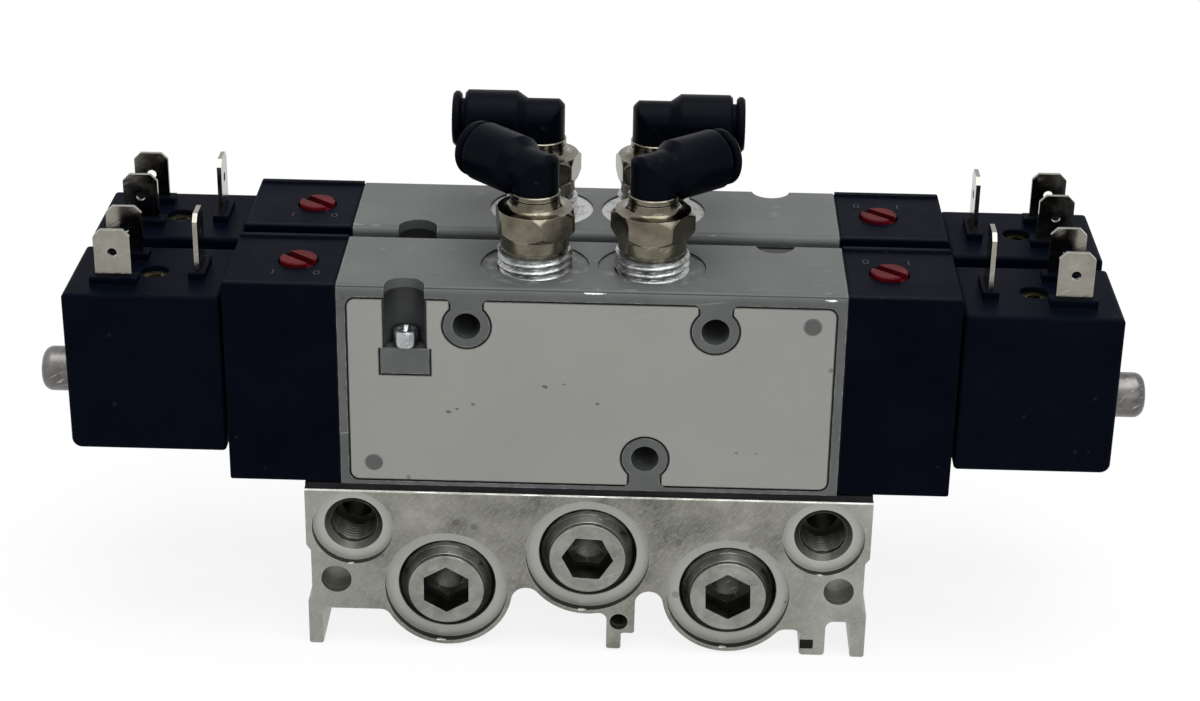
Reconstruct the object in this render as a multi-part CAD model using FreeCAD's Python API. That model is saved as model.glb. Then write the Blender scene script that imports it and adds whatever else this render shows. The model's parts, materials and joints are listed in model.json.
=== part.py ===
import FreeCAD, Part
import math
import os

Vec = FreeCAD.Vector
along_x = Vec(1, 0, 0)
along_y = Vec(0, 1, 0)
upward = Vec(0, 0, 1)

# Two double solenoid 5/2 spool valves on a two station manifold. All sizes are in millimetres.
# +X is along the spools, -Y is the front with the plugged ports, Z is 0 under the manifold's feet.

# How far a cutting tool runs past a face, and how near to a plane an edge counts as lying in it
cut_overrun = 0.5
edge_tolerance = 0.01

# Stations and valve bodies
station_pitch = 26.5
valve_width = 23.0
valve_height = 38.4
top_edge_radius = 1.4

# Manifold bar and its extruded outline
manifold_height = 31.8
manifold_overhang = 0.4
manifold_edge_chamfer = 0.25
side_relief = 0.8
side_relief_top = 20.5
side_relief_bottom = 8.8
side_relief_slope = 1.1
foot_width = 2.6
foot_edge_radius = 0.5
left_underside_height = 7.5
left_foot_root_radius = 1.2
lobe_radius = 11.9
lobe_root_radius = 2.0
outer_gallery_spacing = 25.45
gallery_to_pilot = 16.75
outer_gallery_height = 12.4
centre_gallery_drop = 12.25
left_arch_fullness = 1.38
right_arch_radius = 2.52
key_block_to_gallery = 16.75
key_block_bottom = 3.8
key_leg_left = 3.6
key_leg_right = 6.25
key_leg_bottom = 0.45
key_leg_root_radius = 1.4
key_hole_radius = 1.65
key_hole_x = 5.83
key_hole_height = 6.1
notch_height = 5.4
notch_wall_radius = 1.3
notch_lobe_radius = 2.5
notch_roof_width = 2.53
short_leg_width = 4.6
foot_arch_width = 4.65
short_leg_bottom = 0.2
short_leg_radius = 0.7
right_arch_height = 7.3
right_foot_root_radius = 1.5

# Manifold ports and passages
main_port_recess_radius = 11.15
pilot_port_recess_radius = 7.35
port_recess_depth = 1.5
main_thread_outer_radius = 8.33
main_thread_inner_radius = 7.475
main_thread_depth = 12.0
main_port_mouth_radius = 8.9
main_gallery_radius = 7.0
pilot_to_housing = 1.8
pilot_gallery_drop = 7.6
pilot_thread_radius = 4.283
pilot_thread_depth = 8.0
pilot_port_mouth_radius = 5.3
pilot_gallery_radius = 3.0
gallery_to_dimple = 19.95
dimple_height = 13.6
dimple_radius = 2.75
dimple_depth = 5.0
air_passage_radius = 2.5
pilot_passage_radius = 1.25

# Plugs
plug_length = 11.0
plug_proud = 2.4
plug_end_radius = 7.6
plug_end_chamfer = 0.75
plug_socket_flats = 8.0
plug_socket_depth = 6.0
plug_drill_depth = 2.0
outer_plug_turn = 30.0

# Gaskets
gasket_thickness = 1.2
gasket_inset = 0.15
gasket_hole_clearance = 0.5
housing_gasket_thickness = 0.3
housing_gasket_inset = 0.4

# Side plate and what shows through it
plate_thickness = 0.5
plate_end_margin = 1.85
plate_bottom = 1.1
plate_top = 35.95
plate_corner_radius = 1.45
plate_groove = 0.35
peg_radius = 1.55
left_peg_inset = 4.05
left_peg_rise = 3.3
right_peg_inset = 3.95
right_peg_drop = 3.25
fixing_hole_radius = 2.45
fixing_boss_radius = 4.05
fixing_neck_half_width = 2.7
fixing_neck_flare = 1.2
upper_fixing_places = ((-21.5, 31.3), (21.5, 31.3))
lower_fixing_place = (9.84, 6.4)

# Screw channels and mounting screws
gallery_to_channel = 6.8
channel_radius = 3.5
channel_axis_depth = 0.7
channel_floor = 26.75
pad_left = 4.25
pad_right = 4.25
pad_bottom = 21.9
screw_axis_depth = 2.0
screw_radius = 1.25
screw_hole_clearance = 0.1
screw_head_radius = 2.1
screw_head_height = 3.0
screw_head_edge = 0.4
screw_engagement = 6.0

# Spool and its bore
spool_height = 18.8
spool_bore_radius = 6.0
port_groove_radius = 7.0
port_groove_width = 5.0
outlet_spacing = 10.27
spool_clearance = 0.03
spool_stem_radius = 3.5
spool_travel = 4.0
inner_land_half_length = 3.25
inner_seal_offset = 1.75
gallery_to_end_land = 6.05
end_land_length = 6.0
seal_width = 1.6
seal_groove_depth = 1.1
seal_standout = 0.02
land_undercut = 0.1
spool_pin_radius = 3.0

# Top ports and fittings
spotface_radius = 9.55
spotface_depth = 0.4
top_thread_radius = 6.58
top_thread_depth = 8.4
stud_thread_top = 42.5
stud_thread_gap = 0.4
stud_relief_radius = 5.8
stud_relief_height = 0.6
stud_neck_radius = 6.05
stud_neck_height = 1.6
stud_hex_flats = 13.0
stud_hex_height = 4.6
stud_hex_chamfer = 0.9
stud_collar_radius = 4.4
stud_collar_height = 3.0
stud_flare_radius = 5.5
stud_flare_height = 0.9
stud_bore_radius = 2.75
swivel_radius = 3.7
swivel_clearance = 0.05
swivel_length = 10.5
elbow_barrel_gap = 0.9
elbow_collar_room = 0.15
elbow_stem_radius = 4.1
elbow_seat_gap = 0.05
elbow_neck_radius = 4.0
elbow_neck_end = 2.7
elbow_cone_end = 4.6
elbow_barrel_radius = 5.3
elbow_barrel_end = 13.95
elbow_barrel_edge = 0.5
elbow_knuckle_trim = 5.0
elbow_passage_radius = 2.4
tube_radius = 3.1
tube_stop = 5.0
collar_tail_radius = 3.7
collar_tail_length = 5.2
collar_travel = 0.7
collar_gap = 0.05
collar_flange_radius = 5.0
collar_flange_thickness = 1.5
collar_flange_edge = 0.45

# Pilot housings, their pistons and overrides
housing_length = 19.45
housing_bottom = 0.4
housing_top = 38.3
housing_edge_radius = 0.4
housing_bead_width = 1.3
housing_panel_depth = 0.35
piston_chamber_radius = 8.0
piston_chamber_depth = 7.7
piston_to_housing = 2.1
piston_thickness = 3.0
piston_clearance = 0.05
piston_groove_depth = 0.9
piston_groove_width = 1.0
nozzle_radius = 0.8
override_from_face = 7.55
override_recess_radius = 3.575
override_recess_depth = 1.3
override_head_radius = 3.25
override_proud = 0.7
override_edge = 0.2
override_stem_radius = 2.45
override_clearance = 0.05
override_depth = 9.0
override_slot_width = 1.8
override_slot_depth = 1.1
override_slot_angle = -40.0
housing_screw_places = ((-7.2, 34.2), (7.2, 4.2))
housing_screw_radius = 1.45
housing_screw_grip = 7.0
housing_screw_head_radius = 2.5
housing_screw_head_height = 2.6
housing_screw_head_room = 0.1

# Coils, armature tubes and armatures
coil_gap = 0.55
coil_length = 27.5
coil_inset = 0.5
coil_bottom = 5.5
coil_top = 35.2
coil_edge_radius = 0.8
coil_rim_radius = 0.6
coil_foot_radius = 1.75
tube_axis_height = 15.8
tube_outer_radius = 4.025
tube_coil_clearance = 0.075
tube_base_radius = 5.0
tube_base_depth = 6.75
tube_cavity_radius = 3.0
tube_cavity_depth = 19.7
tube_nub_length = 6.55
tube_nub_edge = 1.8
armature_clearance = 0.05
armature_gap = 0.06
armature_stroke = 1.0
spring_pocket_radius = 1.95
spring_pocket_depth = 6.0
spring_mean_radius = 1.45
spring_wire_radius = 0.25
spring_wire_sides = 6
spring_turns = 5
spring_end_gap = 0.02

# Terminals
contact_from_face = 19.1
contact_spacing = 11.0
contact_tip = 45.3
ground_from_face = 5.0
ground_tip = 47.2
blade_width = 6.3
blade_thickness = 0.8
blade_bevel = 1.2
blade_hole_radius = 0.85
blade_hole_from_tip = 4.2
blade_depth = 6.0
plinth_height = 1.6
plinth_root = 1.0
plinth_margin = 1.0
insert_from_face = 13.1
insert_radius = 2.55
insert_thread_radius = 1.25
insert_length = 8.0
insert_recess = 1.0

# What follows from the sizes above
valve_base = manifold_height + gasket_thickness
stations = {"front": -station_pitch / 2, "rear": station_pitch / 2}
sides = {"right": 0, "left": 180}
pilot_spacing = outer_gallery_spacing + gallery_to_pilot
dimple_spacing = outer_gallery_spacing + gallery_to_dimple
centre_gallery_height = manifold_height - centre_gallery_drop
pilot_gallery_height = manifold_height - pilot_gallery_drop
channel_x = outer_gallery_spacing + gallery_to_channel
key_block_right = outer_gallery_spacing - key_block_to_gallery
notch_centre_height = notch_height - notch_lobe_radius
notch_drop = outer_gallery_height - notch_centre_height
notch_reach = math.sqrt((lobe_radius + notch_lobe_radius) ** 2 - notch_drop ** 2)
short_leg_left = outer_gallery_spacing + notch_reach + notch_roof_width
short_leg_right = short_leg_left + short_leg_width
half_valve = pilot_spacing + pilot_to_housing
plate_half_length = half_valve - plate_end_margin
peg_places = (
    (-plate_half_length + left_peg_inset, plate_bottom + left_peg_rise),
    (plate_half_length - right_peg_inset, plate_top - right_peg_drop),
)
half_width = valve_width / 2
manifold_depth = station_pitch + valve_width + 2 * manifold_overhang
manifold_front = -manifold_depth / 2
half_manifold = short_leg_right + foot_arch_width + foot_width
galleries = (
    (-outer_gallery_spacing, outer_gallery_height),
    (0, centre_gallery_height),
    (outer_gallery_spacing, outer_gallery_height),
)
bore_ports = (-outer_gallery_spacing, -outlet_spacing, 0, outlet_spacing, outer_gallery_spacing)
screw_y = -half_width + screw_axis_depth
housing_start = half_valve + housing_gasket_thickness
housing_end = housing_start + housing_length
piston_chamber_end = housing_start + piston_chamber_depth
piston_inner_face = housing_start + piston_to_housing
override_x = housing_start + override_from_face
housing_screw_start = half_valve - housing_screw_grip
coil_start = housing_end + coil_gap
coil_end = coil_start + coil_length
tube_base_start = housing_end - tube_base_depth
tube_cavity_end = coil_start + tube_cavity_depth
tube_nub_end = coil_end + tube_nub_length
contact_x = coil_start + contact_from_face
ground_x = coil_start + ground_from_face
insert_x = coil_start + insert_from_face
end_land_start = outer_gallery_spacing + gallery_to_end_land
lands = (
    (outlet_spacing - inner_land_half_length, outlet_spacing + inner_land_half_length),
    (end_land_start, end_land_start + end_land_length),
)
seal_places = (
    outlet_spacing - inner_seal_offset,
    outlet_spacing + inner_seal_offset,
    end_land_start + end_land_length / 2,
)
stud_hex_start = stud_thread_top + stud_relief_height + stud_neck_height
stud_hex_end = stud_hex_start + stud_hex_height
stud_top = stud_hex_end + stud_collar_height
elbow_seat = stud_top + elbow_seat_gap
elbow_axis_height = stud_hex_end + elbow_barrel_radius + elbow_barrel_gap
rest_shift = -spool_travel / 2


def rod(start, direction, radius, length):
    return Part.makeCylinder(radius, length, start, direction)


def block(x_range, y_range, z_range):
    corner = Vec(x_range[0], y_range[0], z_range[0])
    return Part.makeBox(x_range[1] - x_range[0], y_range[1] - y_range[0], z_range[1] - z_range[0], corner)


def turned(points, start, direction):
    """Revolve a chain of (distance along the axis, radius) points about an axis."""
    chain = [Vec(radius, 0, along) for along, radius in points]
    chain.append(Vec(0, 0, points[-1][0]))
    chain.append(Vec(0, 0, points[0][0]))
    chain.append(chain[0])
    solid = Part.Face(Part.makePolygon(chain)).revolve(Vec(0, 0, 0), upward, 360)
    solid.Placement = FreeCAD.Placement(start, FreeCAD.Rotation(upward, direction))
    return Part.makeSolid(solid) if solid.ShapeType == "Shell" else solid


def hexagon(flats, height, centre, direction, turn=0):
    corners = []
    for index in range(7):
        angle = math.radians(turn + 60 * index)
        corners.append(Vec(math.cos(angle), math.sin(angle), 0) * (flats / math.sqrt(3)))
    solid = Part.Face(Part.makePolygon(corners)).extrude(upward * height)
    solid.Placement = FreeCAD.Placement(centre, FreeCAD.Rotation(upward, direction))
    return solid


def joined(shapes):
    return shapes[0].fuse(shapes[1:]).removeSplitter() if len(shapes) > 1 else shapes[0]


def half_turn(shape):
    return shape.rotated(Vec(0, 0, 0), upward, 180)


def both_ends(shape):
    return [shape, half_turn(shape)]


# Outlines drawn in the XZ plane

def flat(x, z):
    return Vec(x, 0, z)


def corner(x, z, radius=0):
    return {"at": flat(x, z), "radius": radius}


def bend(centre, start, end):
    return {"centre": centre, "enter": start, "leave": end}


def unit(vector):
    return vector / vector.Length


def rounded_corner(step, before, after):
    """Turn a corner with a radius into the bend that is tangent to both of its sides."""
    to_before = unit(before - step["at"])
    to_after = unit(after - step["at"])
    half_angle = to_before.getAngle(to_after) / 2
    reach = step["radius"] / math.tan(half_angle)
    centre = step["at"] + unit(to_before + to_after) * (step["radius"] / math.sin(half_angle))
    return bend(centre, step["at"] + to_before * reach, step["at"] + to_after * reach)


def outline_face(steps):
    """Close a chain of corners and bends into a flat face."""
    bends = []
    for index, step in enumerate(steps):
        if "at" not in step:
            bends.append(step)
            continue
        previous = steps[index - 1]
        following = steps[(index + 1) % len(steps)]
        before = previous.get("at") or previous["leave"]
        after = following.get("at") or following["enter"]
        if step["radius"]:
            bends.append(rounded_corner(step, before, after))
        else:
            bends.append({"enter": step["at"], "leave": step["at"]})
    edges = []
    for index, item in enumerate(bends):
        pen = bends[index - 1]["leave"]
        if (item["enter"] - pen).Length > 0.001:
            edges.append(Part.makeLine(pen, item["enter"]))
        if "centre" in item:
            outward = unit(item["enter"] + item["leave"] - item["centre"] * 2)
            middle = item["centre"] + outward * (item["enter"] - item["centre"]).Length
            edges.append(Part.Arc(item["enter"], middle, item["leave"]).toShape())
    return Part.Face(Part.Wire(Part.__sortEdges__(edges)))


def panel(steps, y_start, thickness):
    solid = outline_face(steps).extrude(along_y * thickness)
    solid.translate(along_y * y_start)
    return solid


def rounded_panel(x_range, z_range, radius, y_start, thickness):
    left, right = x_range
    low, high = z_range
    places = ((left, low), (left, high), (right, high), (right, low))
    return panel([corner(x, z, radius) for x, z in places], y_start, thickness)


# Manifold

def lobe_touch(lobe, centre):
    """The point where a fillet about centre touches the lobe."""
    return lobe + unit(centre - lobe) * lobe_radius


def manifold_outline():
    left_lobe, centre_lobe, right_lobe = [flat(x, z) for x, z in galleries]

    side = half_manifold
    right_side = [
        corner(side, manifold_height),
        corner(side, side_relief_top),
        corner(side - side_relief, side_relief_top - side_relief_slope),
        corner(side - side_relief, side_relief_bottom + side_relief_slope),
        corner(side, side_relief_bottom),
        corner(side, 0, foot_edge_radius),
        corner(side - foot_width, 0, foot_edge_radius),
    ]
    left_side = [corner(-step["at"].x, step["at"].z, step["radius"]) for step in reversed(right_side)]

    notch = flat(outer_gallery_spacing + notch_reach, notch_centre_height)

    reach = lobe_radius + right_arch_radius
    centre_x = key_block_right + right_arch_radius
    drop = math.sqrt(reach ** 2 - (outer_gallery_spacing - centre_x) ** 2)
    right_arch = flat(centre_x, outer_gallery_height - drop)

    reach = lobe_radius + key_leg_root_radius
    centre_x = key_leg_left - key_leg_root_radius
    leg_root = flat(centre_x, centre_gallery_height - math.sqrt(reach ** 2 - centre_x ** 2))

    across = centre_lobe - left_lobe
    left_arch_radius = across.Length / 2 - lobe_radius + left_arch_fullness
    reach = lobe_radius + left_arch_radius
    middle = (centre_lobe + left_lobe) / 2
    downward = unit(Vec(across.z, 0, -across.x))
    left_arch = middle + downward * math.sqrt(reach ** 2 - (across.Length / 2) ** 2)

    reach = lobe_radius + lobe_root_radius
    centre_z = left_underside_height - lobe_root_radius
    centre_x = -outer_gallery_spacing - math.sqrt(reach ** 2 - (outer_gallery_height - centre_z) ** 2)
    lobe_root = flat(centre_x, centre_z)

    underside = [
        corner(side - foot_width, right_arch_height, right_foot_root_radius),
        corner(short_leg_right, right_arch_height, right_foot_root_radius),
        corner(short_leg_right, short_leg_bottom, short_leg_radius),
        corner(short_leg_left, short_leg_bottom, short_leg_radius),
        corner(short_leg_left, notch_height, notch_wall_radius),
        bend(notch, notch + upward * notch_lobe_radius, lobe_touch(right_lobe, notch)),
        bend(right_lobe, lobe_touch(right_lobe, notch), lobe_touch(right_lobe, right_arch)),
        bend(right_arch, lobe_touch(right_lobe, right_arch), right_arch - along_x * right_arch_radius),
        corner(key_block_right, key_block_bottom, foot_edge_radius),
        corner(key_leg_right, key_block_bottom, foot_edge_radius),
        corner(key_leg_right, key_leg_bottom, foot_edge_radius),
        corner(key_leg_left, key_leg_bottom, foot_edge_radius),
        bend(leg_root, leg_root + along_x * key_leg_root_radius, lobe_touch(centre_lobe, leg_root)),
        bend(centre_lobe, lobe_touch(centre_lobe, leg_root), lobe_touch(centre_lobe, left_arch)),
        bend(left_arch, lobe_touch(centre_lobe, left_arch), lobe_touch(left_lobe, left_arch)),
        bend(left_lobe, lobe_touch(left_lobe, left_arch), lobe_touch(left_lobe, lobe_root)),
        bend(lobe_root, lobe_touch(left_lobe, lobe_root), lobe_root + upward * lobe_root_radius),
        corner(-side + foot_width, left_underside_height, left_foot_root_radius),
    ]
    return right_side + underside + left_side


def port_tool(place, recess_radius, mouth_radius, thread_radius, thread_depth):
    """Everything that is cut from the front face for one threaded port."""
    floor = port_recess_depth
    mouth = mouth_radius - thread_radius
    profile = (
        (-cut_overrun, recess_radius),
        (floor, recess_radius),
        (floor, mouth_radius),
        (floor + mouth, thread_radius),
        (floor + thread_depth, thread_radius),
    )
    return turned(profile, Vec(place[0], manifold_front, place[1]), along_y)


def manifold_ports():
    tools = []
    for place in galleries:
        main = (place, main_port_recess_radius, main_port_mouth_radius)
        tools.append(port_tool(*main, main_thread_outer_radius, main_thread_depth))
        back_place = (-place[0], place[1])
        back = (back_place, main_port_recess_radius, main_port_mouth_radius)
        tools.append(half_turn(port_tool(*back, main_thread_inner_radius, main_thread_depth)))
        start = Vec(place[0], manifold_front, place[1])
        tools.append(rod(start, along_y, main_gallery_radius, manifold_depth))
    for x in (-pilot_spacing, pilot_spacing):
        place = (x, pilot_gallery_height)
        pilot = (place, pilot_port_recess_radius, pilot_port_mouth_radius)
        tools += both_ends(port_tool(*pilot, pilot_thread_radius, pilot_thread_depth))
        start = Vec(x, manifold_front, pilot_gallery_height)
        tools.append(rod(start, along_y, pilot_gallery_radius, manifold_depth))
    for x in (-dimple_spacing, dimple_spacing):
        start = Vec(x, manifold_front, dimple_height)
        tools += both_ends(rod(start, along_y, dimple_radius, dimple_depth))
    start = Vec(key_hole_x, manifold_front, key_hole_height)
    tools.append(rod(start, along_y, key_hole_radius, manifold_depth))
    return tools


def manifold_passages():
    tools = []
    for station_y in stations.values():
        for x, z in galleries:
            tools.append(rod(Vec(x, station_y, z), upward, air_passage_radius, manifold_height - z))
        for x in (-pilot_spacing, pilot_spacing):
            start = Vec(x, station_y, pilot_gallery_height)
            tools.append(rod(start, upward, pilot_passage_radius, manifold_height - pilot_gallery_height))
        for sign in (-1, 1):
            start = Vec(sign * channel_x, station_y + sign * -screw_y, manifold_height - screw_engagement)
            tools.append(rod(start, upward, screw_radius, screw_engagement))
    return tools


def manifold_block():
    bar = panel(manifold_outline(), manifold_front, manifold_depth)
    top_edges = []
    for edge in bar.Edges:
        if edge.BoundBox.XLength > 1 and edge.BoundBox.ZMin > manifold_height - edge_tolerance:
            top_edges.append(edge)
    bar = bar.makeChamfer(manifold_edge_chamfer, top_edges)
    return bar.cut(manifold_ports() + manifold_passages())


def port_plug(place):
    chamfer = plug_end_chamfer
    profile = (
        (0, plug_end_radius),
        (chamfer, main_thread_outer_radius),
        (plug_length - chamfer, main_thread_outer_radius),
        (plug_length, plug_end_radius),
    )
    face = Vec(place[0], manifold_front + port_recess_depth - plug_proud, place[1])
    plug = turned(profile, face, along_y)
    turn = 0 if place[0] == 0 else outer_plug_turn
    socket = hexagon(plug_socket_flats, plug_socket_depth, face, along_y, turn)
    drill_start = face + along_y * plug_socket_depth
    drill = Part.makeCone(plug_socket_flats / 2, 0, plug_drill_depth, drill_start, along_y)
    return plug.cut([socket, drill])


def gasket():
    reach = half_manifold - gasket_inset
    x_range = (-reach, reach)
    sheet = block(x_range, (-half_width, half_width), (-gasket_thickness, 0))
    holes = []
    for x in (-outer_gallery_spacing, 0, outer_gallery_spacing):
        holes.append((x, 0, air_passage_radius + gasket_hole_clearance))
    for x in (-pilot_spacing, pilot_spacing):
        holes.append((x, 0, pilot_passage_radius + gasket_hole_clearance))
    for sign in (-1, 1):
        holes.append((sign * channel_x, sign * -screw_y, screw_radius + screw_hole_clearance))
    tools = [rod(Vec(x, y, -gasket_thickness), upward, radius, gasket_thickness) for x, y, radius in holes]
    return sheet.cut(tools)


# Valve body and side plate

def keyhole(place, rim, grow, y_start, thickness):
    """A round boss that runs into the rim above or below it through a flared neck."""
    x, z = place
    way = 1 if rim > z else -1
    half = fixing_neck_half_width + grow
    flare = fixing_neck_flare - grow
    shoulder = rim - way * flare
    beyond = rim + way * cut_overrun
    steps = [
        corner(x - half, z),
        bend(flat(x - half - flare, shoulder), flat(x - half, shoulder), flat(x - half - flare, rim)),
        corner(x - half - flare, beyond),
        corner(x + half + flare, beyond),
        bend(flat(x + half + flare, shoulder), flat(x + half + flare, rim), flat(x + half, shoulder)),
        corner(x + half, z),
    ]
    disc = rod(Vec(x, y_start, z), along_y, fixing_boss_radius + grow, thickness)
    return disc.fuse(panel(steps, y_start, thickness))


def plate_openings(grow, y_start, thickness):
    """Bosses, screw pad and pegs of the body, or with a groove around them, the plate's cut-outs."""
    pocket_top = plate_top + plate_groove
    pocket_bottom = plate_bottom - plate_groove
    shapes = [keyhole(place, pocket_top, grow, y_start, thickness) for place in upper_fixing_places]
    shapes.append(keyhole(lower_fixing_place, pocket_bottom, grow, y_start, thickness))
    pad_x = (-channel_x - pad_left - grow, -channel_x + pad_right + grow)
    y_range = (y_start, y_start + thickness)
    shapes.append(block(pad_x, y_range, (pad_bottom - grow, channel_floor)))
    channel_half = channel_radius + grow
    channel = (-channel_x - channel_half, -channel_x + channel_half)
    shapes.append(block(channel, y_range, (channel_floor, pocket_top + cut_overrun)))
    return shapes


def side_plate():
    y_start = -half_width
    sheet = rounded_panel(
        (-plate_half_length, plate_half_length),
        (plate_bottom, plate_top),
        plate_corner_radius,
        y_start,
        plate_thickness,
    )
    tools = plate_openings(plate_groove, y_start - cut_overrun, plate_thickness + 2 * cut_overrun)
    for x, z in peg_places:
        tools.append(rod(Vec(x, y_start, z), along_y, peg_radius, plate_thickness))
    return sheet.cut(tools)


def plate_pocket():
    y_start = -half_width
    reach = plate_half_length + plate_groove
    pocket = rounded_panel(
        (-reach, reach),
        (plate_bottom - plate_groove, plate_top + plate_groove),
        plate_corner_radius + plate_groove,
        y_start,
        plate_thickness,
    )
    kept = plate_openings(0, y_start, plate_thickness)
    for x, z in peg_places:
        kept.append(rod(Vec(x, y_start, z), along_y, peg_radius, plate_thickness))
    return pocket.cut(kept)


def screw_channel():
    depth = -half_width + channel_axis_depth
    height = valve_height - channel_floor
    groove = rod(Vec(-channel_x, depth, channel_floor), upward, channel_radius, height)
    mouth_x = (-channel_x - channel_radius, -channel_x + channel_radius)
    mouth = block(mouth_x, (-half_width - cut_overrun, depth), (channel_floor, valve_height))
    hole = rod(Vec(-channel_x, screw_y, 0), upward, screw_radius + screw_hole_clearance, channel_floor)
    return joined([groove, mouth]).fuse(hole)


def spool_bore():
    tools = [rod(Vec(-half_valve, 0, spool_height), along_x, spool_bore_radius, 2 * half_valve)]
    for x in bore_ports:
        start = Vec(x - port_groove_width / 2, 0, spool_height)
        tools.append(rod(start, along_x, port_groove_radius, port_groove_width))
    return tools


def body_passages():
    tools = []
    for x in (-outer_gallery_spacing, 0, outer_gallery_spacing):
        tools.append(rod(Vec(x, 0, 0), upward, air_passage_radius, spool_height - spool_bore_radius))
    for x in (-outlet_spacing, outlet_spacing):
        top = Vec(x, 0, valve_height)
        tools.append(rod(top, -upward, spotface_radius, spotface_depth))
        tools.append(rod(top, -upward, top_thread_radius, top_thread_depth))
        tools.append(rod(top, -upward, air_passage_radius, valve_height - spool_height - spool_bore_radius))
    pilot_height = tube_axis_height - piston_chamber_radius
    for shape in (
        rod(Vec(pilot_spacing, 0, 0), upward, pilot_passage_radius, pilot_height),
        rod(Vec(pilot_spacing, 0, pilot_height), along_x, pilot_passage_radius, half_valve - pilot_spacing),
    ):
        tools += both_ends(shape)
    return tools


def valve_body():
    body = block((-half_valve, half_valve), (-half_width, half_width), (0, valve_height))
    top_edges = []
    for edge in body.Edges:
        if edge.BoundBox.XLength > 1 and edge.BoundBox.ZMin > valve_height - edge_tolerance:
            top_edges.append(edge)
    body = body.makeFillet(top_edge_radius, top_edges)
    tools = [plate_pocket()] + both_ends(screw_channel()) + spool_bore() + body_passages()
    for x, z in upper_fixing_places + (lower_fixing_place,):
        tools.append(rod(Vec(x, -half_width, z), along_y, fixing_hole_radius, valve_width))
    for y, z in housing_screw_places:
        start = Vec(housing_screw_start, y, z)
        tools += both_ends(rod(start, along_x, housing_screw_radius, half_valve - housing_screw_start))
    for tool in tools:
        body = body.cut(tool)
    return body


def mounting_screw():
    """One screw of the front left channel. Its cross recess is left to the finish."""
    start = -gasket_thickness - screw_engagement
    head = channel_floor + screw_head_height
    profile = (
        (start, screw_radius),
        (channel_floor, screw_radius),
        (channel_floor, screw_head_radius),
        (head - screw_head_edge, screw_head_radius),
        (head, screw_head_radius - screw_head_edge),
    )
    return turned(profile, Vec(-channel_x, screw_y, 0), upward)


# Spool, seals and pistons, drawn in mid travel

def spool():
    land = spool_bore_radius - spool_clearance - land_undercut
    groove = land - seal_groove_depth
    half = [(0, spool_stem_radius)]
    for start, end in lands:
        half += [(start, spool_stem_radius), (start, land)]
        for place in seal_places:
            if start < place < end:
                low = place - seal_width / 2
                high = place + seal_width / 2
                half += [(low, land), (low, groove), (high, groove), (high, land)]
        half += [(end, land), (end, spool_stem_radius)]
    half[-1] = (lands[-1][1], spool_pin_radius)
    half.append((piston_inner_face, spool_pin_radius))
    whole = [(-along, radius) for along, radius in reversed(half)] + half[1:]
    return turned(whole, Vec(rest_shift, 0, spool_height), along_x)


def spool_seals():
    groove = spool_bore_radius - spool_clearance - land_undercut - seal_groove_depth
    outer = spool_bore_radius - spool_clearance + seal_standout / 2
    rings = []
    for place in seal_places:
        start = Vec(place - seal_width / 2, 0, spool_height)
        ring = rod(start, along_x, outer, seal_width).cut(rod(start, along_x, groove, seal_width))
        rings += both_ends(ring)
    seals = Part.makeCompound(rings)
    seals.translate(along_x * rest_shift)
    return seals


def pilot_pistons():
    rim = piston_chamber_radius - piston_clearance
    middle = piston_thickness / 2
    half_groove = piston_groove_width / 2
    profile = (
        (0, rim),
        (middle - half_groove, rim),
        (middle - half_groove, rim - piston_groove_depth),
        (middle + half_groove, rim - piston_groove_depth),
        (middle + half_groove, rim),
        (piston_thickness, rim),
    )
    piston = turned(profile, Vec(piston_inner_face, 0, spool_height), along_x)
    pistons = Part.makeCompound(both_ends(piston))
    pistons.translate(along_x * rest_shift)
    return pistons


# Pilot housing and override, drawn for the right end

def pilot_housing():
    steps = [
        corner(housing_start, housing_bottom),
        corner(housing_start, housing_top),
        corner(housing_end, housing_top, housing_edge_radius),
        corner(housing_end, housing_bottom, housing_edge_radius),
    ]
    housing = panel(steps, -half_width, valve_width)
    bead = half_width - housing_bead_width
    y_range = (-bead, bead)
    panel_z = housing_top - housing_panel_depth
    duct_height = tube_axis_height - piston_chamber_radius
    duct_end = tube_base_start + tube_base_radius / 2
    tools = [
        block((housing_start, housing_end), y_range, (panel_z, housing_top)),
        rod(Vec(housing_start, 0, spool_height), along_x, piston_chamber_radius,
            piston_chamber_end - housing_start),
        rod(Vec(piston_chamber_end, 0, tube_axis_height), along_x, nozzle_radius,
            tube_base_start - piston_chamber_end),
        rod(Vec(tube_base_start, 0, tube_axis_height), along_x, tube_base_radius,
            housing_end - tube_base_start),
        rod(Vec(housing_start, 0, duct_height), along_x, pilot_passage_radius, duct_end - housing_start),
        rod(Vec(duct_end, 0, duct_height), upward, pilot_passage_radius, piston_chamber_radius),
        rod(Vec(override_x, 0, panel_z), -upward, override_recess_radius, override_recess_depth),
        rod(Vec(override_x, 0, panel_z), -upward, override_stem_radius + override_clearance,
            override_depth + override_clearance),
    ]
    for y, z in housing_screw_places:
        shank = Vec(housing_start, y, z)
        head_start = housing_end - housing_screw_head_height - housing_screw_head_room
        head = Vec(head_start, y, z)
        tools.append(rod(shank, along_x, housing_screw_radius, housing_end - housing_start))
        tools.append(rod(head, along_x, housing_screw_head_radius, housing_end - head_start))
    for tool in tools:
        housing = housing.cut(tool)
    return housing


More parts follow.
